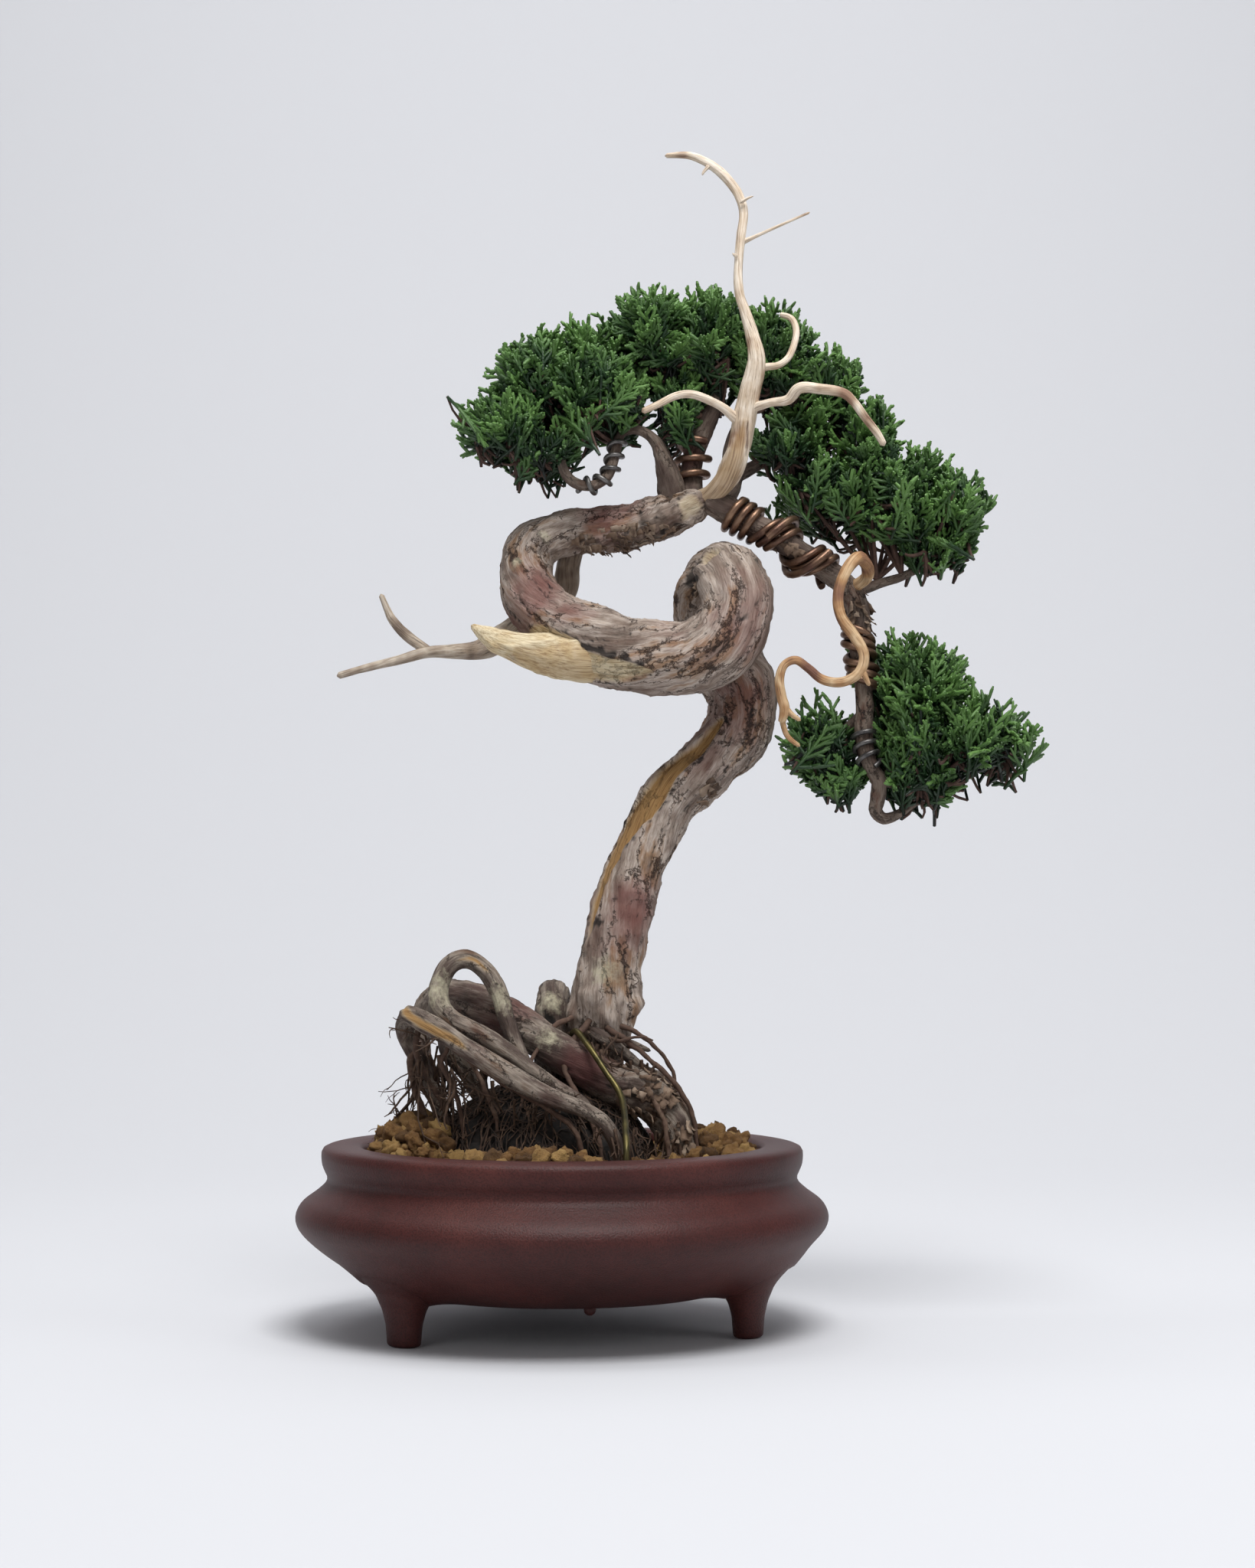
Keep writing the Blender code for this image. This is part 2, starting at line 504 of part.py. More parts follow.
def cavity_outline(inset, top):
    """The bowl's inside, set in from its wall by inset and cut off at top, widest first below the lip."""
    belly = POT_HEIGHT - BELLY_DROP
    widest = POT_RADIUS - POT_WALL - 1.5 - inset
    mouth = MOUTH_RADIUS - inset
    keys = [
        (BASE_RADIUS - inset, CAVITY_FLOOR + inset),
        (BASE_RADIUS + 0.55 * (widest - BASE_RADIUS), CAVITY_FLOOR + 0.33 * (belly - CAVITY_FLOOR)),
        (widest - 2.5, belly - 4.0),
        (widest, belly + 1.0),
        (mouth + 0.45 * (widest - mouth), POT_HEIGHT - LIP_DEPTH - 5.7),
        (mouth, POT_HEIGHT - LIP_DEPTH),
    ]
    curve = [(radius, height) for radius, _, height in smooth([(r, 0.0, h) for r, h in keys], 8.0)]
    kept = [(radius, height) for radius, height in curve if height < top - 0.5]
    edge = interpolate([(height, radius) for radius, height in curve], top)
    return [(0.0, CAVITY_FLOOR + inset), *kept, (edge, top), (0.0, top)]


def foot_outline():
    """A foot's half-width across the rim, at heights from the ground to inside the bowl's wall."""
    top = FOOT_HEIGHT + 2.0 * POT_FLOOR
    return [
        (0.0, 0.0),
        (FOOT_RADIUS - 0.8, 0.0),
        (FOOT_RADIUS, 0.9),
        (FOOT_RADIUS + 0.4, 0.5 * FOOT_HEIGHT),
        (FOOT_RADIUS + 1.4, 0.85 * FOOT_HEIGHT),
        (FOOT_RADIUS + 3.2, FOOT_HEIGHT + 2.5),
        (FOOT_RADIUS + 6.0, FOOT_HEIGHT + 7.0),
        (FOOT_RADIUS + 9.5, top),
        (0.0, top),
    ]


def make_pot(parts, cutters):
    """The bowl and its three feet, fired as one piece, with the cavity and the drain hole."""
    pot = turned("pot", pot_outline(), parts)
    for number, angle in enumerate(FOOT_ANGLES):
        foot = turned(f"pot_foot_{number}", foot_outline(), cutters, steps=14)
        turn = Matrix.Rotation(math.radians(angle), 4, "Z")
        widen = Matrix.Diagonal((1.0, FOOT_SPREAD, 1.0, 1.0))
        foot.matrix_world = turn @ Matrix.Translation((FOOT_CIRCLE * MM, 0.0, 0.0)) @ widen
        boolean(pot, "UNION", foot)
    boolean(pot, "DIFFERENCE", turned("pot_cavity", cavity_outline(0.0, POT_HEIGHT + 5.0), cutters))
    drain = [(0.0, 0.0), (DRAIN_RADIUS, 0.0), (DRAIN_RADIUS, CAVITY_FLOOR + 5.0), (0.0, CAVITY_FLOOR + 5.0)]
    boolean(pot, "DIFFERENCE", turned("pot_drain", drain, cutters, steps=16))
    return pot


def make_screen(parts):
    """A square of plastic mesh over the drain hole."""
    shape = bmesh.new()
    half = SCREEN_CELLS * SCREEN_PITCH / 2.0
    bmesh.ops.create_grid(shape, x_segments=SCREEN_CELLS, y_segments=SCREEN_CELLS, size=half * MM)
    bmesh.ops.translate(shape, vec=(0.0, 0.0, (CAVITY_FLOOR + GAP) * MM), verts=shape.verts)
    middle = SCREEN_CELLS // 2
    holes = []
    for face in shape.faces:
        centre = face.calc_center_median() / (SCREEN_PITCH * MM)
        column, row = round(centre.x) + middle, round(centre.y) + middle
        if column % 2 and row % 2:
            holes.append(face)
    bmesh.ops.delete(shape, geom=holes, context="FACES")
    screen = finish_bmesh("drain_screen", shape, parts)
    solidify = screen.modifiers.new("thickness", "SOLIDIFY")
    solidify.thickness = SCREEN_THICKNESS * MM
    solidify.offset = 1.0
    return screen


def make_clip(parts):
    """The wire staple over the screen, with its legs through the drain hole and bent out below."""
    over = CAVITY_FLOOR + GAP + SCREEN_THICKNESS + GAP + CLIP_RADIUS
    under = FOOT_HEIGHT - GAP - CLIP_RADIUS
    half = [
        (CLIP_LEG / 3.0, over),
        (CLIP_LEG - 1.2, over),
        (CLIP_LEG, over - 1.2),
        (CLIP_LEG, under + 1.2),
        (CLIP_LEG + 1.2, under),
        (CLIP_LEG + CLIP_TAIL, under),
    ]
    left = [(-x, 0.0, z, CLIP_RADIUS) for x, z in reversed(half)]
    right = [(x, 0.0, z, CLIP_RADIUS) for x, z in half]
    return tube("screen_clip", left + right, 6, parts)


def make_soil_bed(parts, cutters):
    bed = turned("soil_bed", cavity_outline(GAP, BED_LEVEL), parts)
    half = SCREEN_CELLS * SCREEN_PITCH / 2.0 + GAP
    over = CAVITY_FLOOR + SCREEN_THICKNESS + 2.0 * (GAP + CLIP_RADIUS) + 2.0 * GAP
    size = (2 * half, 2 * half, 2 * (over - CAVITY_FLOOR))
    boolean(bed, "DIFFERENCE", block("screen_recess", size, CAVITY_FLOOR, cutters))
    return bed


def root_ball_solid(name, collection, grow=0.0):
    """The mound of old fibrous root that the trunk and the bare roots grow from."""
    bottom = BED_LEVEL + GAP - grow
    rise = SOIL_LEVEL + (ROOT_BALL_TOP - DRAWN_SOIL_LEVEL) * TREE_SCALE - bottom
    shares = [math.radians(90.0 * i / 7) for i in range(8)]
    outline = [(0.0, bottom), *((math.cos(a), bottom + rise * math.sin(a)) for a in shares[:-1])]
    mound = turned(name, [*outline, (0.0, bottom + rise + grow)], collection, steps=20)
    x, y = (value * TREE_SCALE for value in ROOT_BALL_CENTRE)
    wide, deep = (value * TREE_SCALE + grow for value in ROOT_BALL_HALF_SIZE)
    mound.matrix_world = Matrix.Translation((x * MM, y * MM, 0.0)) @ Matrix.Diagonal((wide, deep, 1.0, 1.0))
    return mound


def make_akadama(parts, cutters):
    """The layer of baked clay grit round the root ball, heaped against the pot's wall."""
    edge = MOUTH_RADIUS - GAP
    low = BED_LEVEL + GAP
    layer = [(0.0, low), (edge, low), (edge, SOIL_LEVEL - 1.0), (edge - 1.5, SOIL_LEVEL), (0.0, SOIL_LEVEL)]
    grit = turned("akadama_layer", layer, parts)
    for number, (angle, wide, long, high) in enumerate(GRIT_HEAPS):
        reach = MOUTH_RADIUS - HEAP_MARGIN - wide
        heap = ellipsoid(f"grit_heap_{number}", (0.0, 0.0, 0.0), (wide, long, high), cutters)
        turn = Matrix.Rotation(math.radians(angle), 4, "Z")
        heap.matrix_world = turn @ Matrix.Translation((reach * MM, 0.0, (SOIL_LEVEL - 1.0) * MM))
        boolean(grit, "UNION", heap)
    boolean(grit, "DIFFERENCE", block("below_grit", (3 * edge, 3 * edge, low), 0.5 * low, cutters))
    return grit


def make_limb(limb, parts, cutters):
    """The limb, and the cutters that clear room for it in its neighbours."""
    made = tube(limb.name, limb_points(limb.route, limb.step), limb.sides, parts)
    clear = [tube(f"{limb.name}_room", limb_points(limb.route, limb.step), limb.sides, cutters, GAP)]
    for number, route in enumerate(limb.shoots):
        points = limb_points(route, limb.step)
        boolean(made, "UNION", tube(f"{limb.name}_shoot_{number}", points, limb.sides, cutters))
        clear.append(tube(f"{limb.name}_shoot_{number}_room", points, limb.sides, cutters, GAP))
    return made, clear


def along(points):
    """Each point's distance along the route."""
    found = [0.0]
    for before, after in zip(points, points[1:]):
        found.append(found[-1] + math.dist(before[:3], after[:3]))
    return found


def coil_points(coil, host):
    """The wire's points: its winding laid round the host limb, clear of the limb and of the layer below."""
    points = limb_points(host.route, 1.5)
    distances = along(points)
    clearance = WIRE_STAND_OFF + coil.radius + coil.layer * (2 * WIRE_RADIUS + WIRE_STAND_OFF)
    first_turn = coil.winding[0][1]
    way = math.copysign(1.0, coil.winding[-1][1] - first_turn)
    reached = [(abs(turns - first_turn), distance * TREE_SCALE) for distance, turns in coil.winding]
    count = round(reached[-1][0] * COIL_POINTS)
    found = []
    side = Vector((0.0, 1.0, 0.0))
    for number in range(count + 1):
        turned_so_far = reached[-1][0] * number / count
        distance = interpolate(reached, turned_so_far)
        i = max(1, next(n for n, passed in enumerate(distances) if passed >= distance))
        share = (distance - distances[i - 1]) / (distances[i] - distances[i - 1])
        before, after = Vector(points[i - 1][:3]), Vector(points[i][:3])
        forward = (after - before).normalized()
        side = (side - forward * side.dot(forward)).normalized()
        radius = points[i - 1][3] + (points[i][3] - points[i - 1][3]) * share
        reach = (radius + clearance) / math.cos(math.pi / COIL_POINTS)
        angle = math.tau * (first_turn + way * turned_so_far)
        outwards = side * math.cos(angle) + forward.cross(side) * math.sin(angle)
        found.append((*(before.lerp(after, share) + outwards * reach), coil.radius))
    return found


def make_coil(coil, parts, cutters):
    host = next(limb for limb in LIMBS if limb.name == coil.host)
    points = coil_points(coil, host)
    sides = 6 if coil.radius > 1.0 else 4
    room = tube(f"{coil.name}_room", points, sides, cutters, GAP)
    return tube(coil.name, points, sides, parts), [room]


def make_tie_wire(parts, cutters):
    angle = math.radians(TIE_WIRE_ANGLE)
    reach = MOUTH_RADIUS - TIE_WIRE_MARGIN
    x, y = reach * math.cos(angle), reach * math.sin(angle)
    over = [on_tree(point) for point in TIE_WIRE_OVER_ROOTS]
    down = [(x, y + 4.0, SOIL_LEVEL + 12.0), (x, y, SOIL_LEVEL + 5.0), (x, y, SOIL_LEVEL - 5.0)]
    points = [(*point, TIE_WIRE_RADIUS) for point in smooth(over + down, 4.0)]
    return tube("tie_wire", points, 6, parts), [tube("tie_wire_room", points, 6, cutters, GAP)]


def make_pad(name, lumps, parts, cutters):
    """A pad of foliage, as rounded lumps grown together."""
    rooms = []
    pad = None
    for number, lump in enumerate(lumps):
        x, y, z, *half_size = on_tree(lump)
        if pad is None:
            pad = ellipsoid(name, (x, y, z), half_size, parts)
        else:
            boolean(pad, "UNION", ellipsoid(f"{name}_lump_{number}", (x, y, z), half_size, cutters))
        grown = [size + GAP for size in half_size]
        rooms.append(ellipsoid(f"{name}_room_{number}", (x, y, z), grown, cutters))
    return pad, rooms


def world_box(thing):
    graph = bpy.context.evaluated_depsgraph_get()
    evaluated = thing.evaluated_get(graph)
    corners = [evaluated.matrix_world @ Vector(corner) for corner in evaluated.bound_box]
    return [(min(values), max(values)) for values in zip(*corners)]


def boxes_meet(first, second):
    return all(low < other[1] and other[0] < high for (low, high), other in zip(first, second))


def fit_together(made):
    """Cuts each piece back to clear those before it, wherever they may meet.

    made is a list of (piece, the cutters that clear room for it).
    """
    bpy.context.view_layer.update()
    boxes = [(piece, world_box(piece), [(room, world_box(room)) for room in rooms]) for piece, rooms in made]
    for number, (piece, box, _) in enumerate(boxes):
        for _, _, rooms in boxes[:number]:
            for room, room_box in rooms:
                if boxes_meet(box, room_box):
                    boolean(piece, "DIFFERENCE", room)


def paint(piece, material):
    piece.data.materials.clear()
    piece.data.materials.append(material)


def stand_on_origin(parts):
    """Hangs every piece from one empty, and moves it so the object's box stands on the origin."""
    bpy.context.view_layer.update()
    boxes = [world_box(piece) for piece in parts.objects]
    low = [min(box[axis][0] for box in boxes) for axis in range(3)]
    high = [max(box[axis][1] for box in boxes) for axis in range(3)]
    root = bpy.data.objects.new("bonsai", None)
    bpy.context.scene.collection.objects.link(root)
    for made in bpy.data.objects:
        if made != root:
            made.parent = root
    root.location = (-(low[0] + high[0]) / 2, -(low[1] + high[1]) / 2, -low[2])


def main():
    clear_scene()
    parts = new_collection("juniper_bonsai")
    cutters = new_collection("cutters")
    materials = make_materials()

    paint(make_pot(parts, cutters), materials["unglazed_clay"])
    paint(make_screen(parts), materials["screen_plastic"])
    paint(make_clip(parts), materials["anodised_wire"])
    paint(make_soil_bed(parts, cutters), materials["soil"])

    fitted = []
    giving_way = []
    for limb in LIMBS:
        made, rooms = make_limb(limb, parts, cutters)
        paint(made, materials[limb.material])
        (giving_way if limb.wires_pass_first else fitted).append((made, rooms))
    for coil in COILS:
        made, rooms = make_coil(coil, parts, cutters)
        paint(made, materials["anodised_wire"])
        fitted.append((made, rooms))
    fitted.extend(giving_way)
    tie_wire, rooms = make_tie_wire(parts, cutters)
    paint(tie_wire, materials["olive_wire"])
    fitted.append((tie_wire, rooms))
    for name, lumps in PADS.items():
        pad, rooms = make_pad(name, lumps, parts, cutters)
        paint(pad, materials["juniper_foliage"])
        fitted.append((pad, rooms))
    root_ball = root_ball_solid("root_ball", parts)
    paint(root_ball, materials["root_fibre"])
    fitted.append((root_ball, [root_ball_solid("root_ball_room", cutters, GAP)]))
    akadama = make_akadama(parts, cutters)
    paint(akadama, materials["akadama_clay"])
    fitted.append((akadama, []))

    fit_together(fitted)
    hide_in(cutters)
    stand_on_origin(parts)


main()
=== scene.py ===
"""A juniper bonsai with a coiled trunk and bare deadwood, in an unglazed pot on three feet.

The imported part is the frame, and every piece here stands where its solid does. Lengths are in
millimetres, X to the right, Y to the back and Z up from the floor, measured from the pot's axis.
They become metres in the part's own frame where a mesh is made.
"""

from __future__ import annotations

import logging
import math
from dataclasses import dataclass, field
from enum import Enum
from typing import Any, Sequence

import bpy
import numpy as np
from bpy.types import ID, Collection, Material, Mesh, Node, NodeSocket, NodeTree, Object
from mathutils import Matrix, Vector


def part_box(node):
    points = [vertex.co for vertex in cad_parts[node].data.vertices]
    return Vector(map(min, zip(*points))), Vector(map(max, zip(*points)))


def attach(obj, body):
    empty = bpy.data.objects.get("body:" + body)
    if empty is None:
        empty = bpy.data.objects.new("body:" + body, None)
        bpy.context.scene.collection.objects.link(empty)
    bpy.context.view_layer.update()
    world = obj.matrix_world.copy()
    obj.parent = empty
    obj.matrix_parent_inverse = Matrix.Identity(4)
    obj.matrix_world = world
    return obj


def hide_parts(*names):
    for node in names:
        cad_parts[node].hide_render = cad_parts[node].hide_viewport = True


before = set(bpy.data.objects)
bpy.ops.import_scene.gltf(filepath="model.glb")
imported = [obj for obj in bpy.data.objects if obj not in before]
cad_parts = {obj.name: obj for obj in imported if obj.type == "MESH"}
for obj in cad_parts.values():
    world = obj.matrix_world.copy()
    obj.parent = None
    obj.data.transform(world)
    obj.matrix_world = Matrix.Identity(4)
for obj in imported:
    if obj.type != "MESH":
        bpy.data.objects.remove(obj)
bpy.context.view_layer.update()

MM = 0.001
POT_LOW, POT_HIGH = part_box("pot")
AXIS = np.array([(POT_LOW.x + POT_HIGH.x) / 2, (POT_LOW.y + POT_HIGH.y) / 2, POT_LOW.z]) / MM
BODY = "root"
NOISE_CELLS = 256
NOISE_GAIN = 1.6
CURVE_POINTS = 16

log = logging.getLogger("bonsai")

Points = Sequence[Sequence[float]]


class Mark(Enum):
    """What a mark on a limb is."""

    NUB = "a swelling of the bark"
    SCAR = "a healed cut, pale inside a raised rim"
    LICHEN = "a pale crust"
    # Red under-bark; on the trunk under its loop this mark is painted shadow
    RED = "thin red bark where the flakes have come off"
    # A hollow's dark is painted shade
    HOLLOW = "a dark sunken place"
    ROUGH = "loose flaking bark"
    RINGS = "ridges round the limb that an old wire has left"


class Slot(Enum):
    """The part's material slots."""

    CLAY = "unglazed_clay"
    FIBRE = "root_fibre"
    GRIT = "akadama_clay"
    BARK = "bark"
    ROOT_BARK = "root_bark"
    BLEACHED = "bleached_deadwood"
    TAN = "tan_deadwood"
    WIRE = "anodised_wire"
    OLIVE_WIRE = "olive_wire"
    FOLIAGE = "juniper_foliage"


# ---------------------------------------------------------------- number work


def noise(points: np.ndarray, seed: int = 0) -> np.ndarray:
    """Smooth random values in space.

    Args:
        points: the places, one a row, where one unit is about one lump of the noise.
        seed: which noise.

    Returns:
        A value for each place, about -1 to 1.
    """
    rng = np.random.default_rng(seed)
    table = rng.permutation(NOISE_CELLS)
    slopes = rng.normal(size=(NOISE_CELLS, 3))
    wrap = NOISE_CELLS - 1
    slopes /= np.linalg.norm(slopes, axis=1)[:, None]
    cell = np.floor(points).astype(int)
    inside = points - cell
    fade = inside**3 * (inside * (inside * 6 - 15) + 10)
    total = np.zeros(len(points))
    for corner in np.ndindex(2, 2, 2):
        x, y, z = ((cell + corner) & wrap).T
        chosen = slopes[table[(table[(table[x] + y) & wrap] + z) & wrap]]
        weight = np.where(np.array(corner), fade, 1 - fade).prod(axis=1)
        total += weight * (chosen * (inside - corner)).sum(axis=1)
    return total * NOISE_GAIN


def fractal(points: np.ndarray, octaves: int = 3, seed: int = 0) -> np.ndarray:
    """Noise with finer noise added, each octave twice as fine and half as strong."""
    return sum(noise(points * 2**i, seed + i) / 2**i for i in range(octaves))


def smoothstep(low: float, high: float, values: np.ndarray) -> np.ndarray:
    """0 below low, 1 above high and a smooth rise between."""
    share = np.clip((values - low) / (high - low), 0.0, 1.0)
    return share * share * (3 - 2 * share)


def unit(vectors: np.ndarray) -> np.ndarray:
    """The vectors made one long."""
    return vectors / np.maximum(np.linalg.norm(vectors, axis=-1, keepdims=True), 1e-9)


def smooth_curve(keys: Points, step: float) -> np.ndarray:
    """Rows evenly spaced along the Catmull-Rom curve through the keys.

    Args:
        keys: rows that start with x, y and z, with any sizes after them.
        step: the distance from one row to the next.

    Returns:
        The rows, from the first key to the last.
    """
    keys = np.array(keys, float)
    padded = np.vstack([keys[0], keys, keys[-1]])
    share = np.linspace(0, 1, CURVE_POINTS, endpoint=False)[:, None]
    rows = []
    for a, b, c, d in zip(padded, padded[1:], padded[2:], padded[3:]):
        square, cube = 2 * a - 5 * b + 4 * c - d, 3 * b - a - 3 * c + d
        rows.append(0.5 * (2 * b + (c - a) * share + square * share**2 + cube * share**3))
    dense = np.vstack([*rows, keys[-1:]])
    reached = np.concatenate([[0], np.cumsum(np.linalg.norm(np.diff(dense[:, :3], axis=0), axis=1))])
    count = max(3, round(reached[-1] / step) + 1)
    even = np.linspace(0, reached[-1], count)
    return np.column_stack([np.interp(even, reached, column) for column in dense.T])


def frames_along(points: np.ndarray) -> tuple[np.ndarray, np.ndarray, np.ndarray]:
    """Directions along the curve and two across it that never spin round it."""
    forward = unit(np.gradient(points, axis=0))
    side = np.empty_like(forward)
    across = np.array([0.0, 1.0, 0.0])
    if abs(forward[0] @ across) > 0.95:
        across = np.array([1.0, 0.0, 0.0])
    for i, direction in enumerate(forward):
        across = across - direction * (across @ direction)
        across /= np.linalg.norm(across)
        side[i] = across
    return forward, side, np.cross(forward, side)


def distance_to_line(points: np.ndarray, line: np.ndarray) -> tuple[np.ndarray, np.ndarray]:
    """Each point's distance to a polyline, and the polyline's own width there (its fourth column)."""
    best = np.full(len(points), 1e9)
    width = np.zeros(len(points))
    for start, end in zip(line, line[1:]):
        way = end[:3] - start[:3]
        share = np.clip(((points - start[:3]) @ way) / max(way @ way, 1e-9), 0, 1)
        distance = np.linalg.norm(points - (start[:3] + share[:, None] * way), axis=1)
        nearer = distance < best
        best = np.where(nearer, distance, best)
        width = np.where(nearer, start[3] + (end[3] - start[3]) * share, width)
    return best, width


# ---------------------------------------------------------------- meshes


@dataclass
class Shell:
    """A mesh being put together: places in millimetres from the pot's axis, faces and point attributes."""

    places: np.ndarray
    faces: list
    facts: dict = field(default_factory=dict)

    @staticmethod
    def joined(shells: Sequence[Shell]) -> Shell:
        """Several shells as one."""
        faces, start = [], 0
        for shell in shells:
            faces.extend(tuple(corner + start for corner in face) for face in shell.faces)
            start += len(shell.places)
        names = {name for shell in shells for name in shell.facts}
        facts = {}
        for name in sorted(names):
            like = next(shell.facts[name] for shell in shells if name in shell.facts)
            facts[name] = np.concatenate([shell.facts.get(name,
                        np.zeros((len(shell.places), *like.shape[1:]))) for shell in shells])
        return Shell(np.vstack([shell.places for shell in shells]), faces, facts)

    def to_object(self, name: str, material: Material | None = None) -> Object:
        """The shell as an object at the origin, with its place in its mesh."""
        mesh = bpy.data.meshes.new(name)
        mesh.from_pydata(((self.places + AXIS) * MM).tolist(), [], self.faces)
        store_facts(mesh, self.facts)
        mesh.shade_smooth()
        if material:
            mesh.materials.append(material)
        return put(name, mesh)


def put(name: str, data: ID) -> Object:
    """A new object in the scene."""
    made = bpy.data.objects.new(name, data)
    bpy.context.scene.collection.objects.link(made)
    return made


def store_facts(mesh: Mesh, facts: dict[str, np.ndarray]) -> None:
    """Writes point attributes, of one number or three each."""
    for name, values in facts.items():
        kind, key = ("FLOAT", "value") if values.ndim == 1 else ("FLOAT_VECTOR", "vector")
        attribute = mesh.attributes.new(name, kind, "POINT")
        attribute.data.foreach_set(key, values.astype(np.float32).ravel())


def grid_faces(rings: int, sides: int) -> list:
    """Quads between rings of points that close round."""
    faces = []
    for ring in range(rings - 1):
        low, high = ring * sides, (ring + 1) * sides
        for i in range(sides):
            j = (i + 1) % sides
            faces.append((low + i, low + j, high + j, high + i))
    return faces


def tube_faces(rings: int, sides: int) -> list:
    """The faces of a tube closed by two more points, the first end's and the last end's."""
    faces = grid_faces(rings, sides)
    first, last = rings * sides, (rings - 1) * sides
    for i in range(sides):
        j = (i + 1) % sides
        faces += [(first, j, i), (last + i, last + j, first + 1)]
    return faces


def turned_rings(rows: np.ndarray, sides: int) -> np.ndarray:
    """A ring of places about Z for each (radius, height) row."""
    angles = np.arange(sides) * math.tau / sides
    return np.vstack([np.column_stack([radius * np.cos(angles), radius * np.sin(angles),
                np.full(sides, height)]) for radius, height in rows])


def lathe(outline: np.ndarray, sides: int) -> Shell:
    """A solid of revolution about Z from (radius, height) rows that start and end on the axis.

    Args:
        outline: the rows, going from the bottom outwards and up.
        sides: how many steps make the circle.

    Returns:
        The closed solid.
    """
    ends = np.array([[0, 0, outline[0][1]], [0, 0, outline[-1][1]]])
    places = np.vstack([turned_rings(outline[1:-1], sides), ends])
    return Shell(places, tube_faces(len(outline) - 2, sides))


# ---------------------------------------------------------------- node trees


def add(tree: NodeTree, kind: str, inputs: dict | None = None, **settings: Any) -> Node:
    """Adds one node.

    Args:
        tree: where it goes.
        kind: its Blender type.
        inputs: what each input holds: a value, or another node's output to link.
        settings: the node's own settings.

    Returns:
        The node.
    """
    made = tree.nodes.new(kind)
    for name, value in settings.items():
        setattr(made, name, value)
    for key, value in (inputs or {}).items():
        if isinstance(value, NodeSocket):
            tree.links.new(value, made.inputs[key])
        else:
            made.inputs[key].default_value = value
    return made


def linear(hexadecimal: str) -> tuple[float, float, float, float]:
    """An sRGB hex colour as linear values."""
    channels = [int(hexadecimal[i : i + 2], 16) / 255 for i in (1, 3, 5)]
    return (*(c / 12.92 if c <= 0.04045 else ((c + 0.055) / 1.055) ** 2.4 for c in channels), 1.0)


def shade(ramp: Node, stops: Sequence[tuple[float, str]]) -> NodeSocket:
    """Fills a colour ramp with (place, hex) stops and returns its colour output."""
    elements = ramp.color_ramp.elements
    while len(elements) < len(stops):
        elements.new(0.5)
    for element, (place, colour) in zip(elements, stops):
        element.position = place
        element.color = linear(colour)
    return ramp.outputs["Color"]


def new_material(name: str) -> tuple[Material, NodeTree, Node]:
    """A material with its tree and its shader."""
    material = bpy.data.materials.new(name)
    material.use_nodes = True
    tree = material.node_tree
    return material, tree, tree.nodes["Principled BSDF"]


def new_geometry_tree(name: str, sockets: Sequence[tuple[str, str, Any]]) -> tuple[NodeTree, Node]:
    """A geometry node tree with its named inputs.

    Args:
        name: the tree's name.
        sockets: (name, socket type, default) of each input after the geometry.

    Returns:
        The tree and its group input node.
    """
    tree = bpy.data.node_groups.new(name, "GeometryNodeTree")
    tree.interface.new_socket("Geometry", in_out="INPUT", socket_type="NodeSocketGeometry")
    for label, kind, default in sockets:
        socket = tree.interface.new_socket(label, in_out="INPUT", socket_type=kind)
        if default is not None:
            socket.default_value = default
    tree.interface.new_socket("Geometry", in_out="OUTPUT", socket_type="NodeSocketGeometry")
    return tree, tree.nodes.new("NodeGroupInput")


def grown(name: str, base: Object, tree: NodeTree, values: dict[str, Any]) -> Object:
    """Runs a geometry node tree on a base object and keeps the result as a plain mesh.

    Args:
        name: the new piece's name.
        base: the object to start from, which is removed.
        tree: the geometry node tree.
        values: what each named input holds.

    Returns:
        The new object.
    """
    modifier = base.modifiers.new(tree.name, "NODES")
    modifier.node_group = tree
    for item in tree.interface.items_tree:
        if item.in_out == "INPUT" and item.name in values:
            modifier[item.identifier] = values[item.name]
    bpy.context.view_layer.update()
    graph = bpy.context.evaluated_depsgraph_get()
    mesh = bpy.data.meshes.new_from_object(base.evaluated_get(graph), preserve_all_data_layers=True,
        depsgraph=graph)
    mesh.name = name
    bpy.data.objects.remove(base)
    return put(name, mesh)


def cord_tree() -> NodeTree:
    """Sweeps every chain of edges into a round cord whose half-width is the girth attribute."""
    tree, given = new_geometry_tree("cords_along_chains",
        [("Sides", "NodeSocketInt", 6), ("Thickness", "NodeSocketFloat", 1.0),
            ("Material", "NodeSocketMaterial", None)])
    curves = add(tree, "GeometryNodeMeshToCurve", {"Mesh": given.outputs["Geometry"]})
    girth = add(tree, "GeometryNodeInputNamedAttribute", {"Name": "girth"}, data_type="FLOAT")
    scale = add(tree, "ShaderNodeMath", {0: girth.outputs["Attribute"], 1: given.outputs["Thickness"]},
        operation="MULTIPLY")
    ring = add(tree, "GeometryNodeCurvePrimitiveCircle",
        {"Resolution": given.outputs["Sides"], "Radius": 1.0})
    swept = add(tree, "GeometryNodeCurveToMesh", {"Curve": curves.outputs["Curve"],
            "Profile Curve": ring.outputs["Curve"], "Scale": scale.outputs[0], "Fill Caps": True})
    smooth = add(tree, "GeometryNodeSetShadeSmooth", {"Geometry": swept.outputs["Mesh"]})
    real = add(tree, "GeometryNodeRealizeInstances", {"Geometry": smooth.outputs["Geometry"]})
    dressed = add(tree, "GeometryNodeSetMaterial", {"Geometry": real.outputs["Geometry"],
            "Material": given.outputs["Material"]})
    add(tree, "NodeGroupOutput", {"Geometry": dressed.outputs["Geometry"]})
    return tree


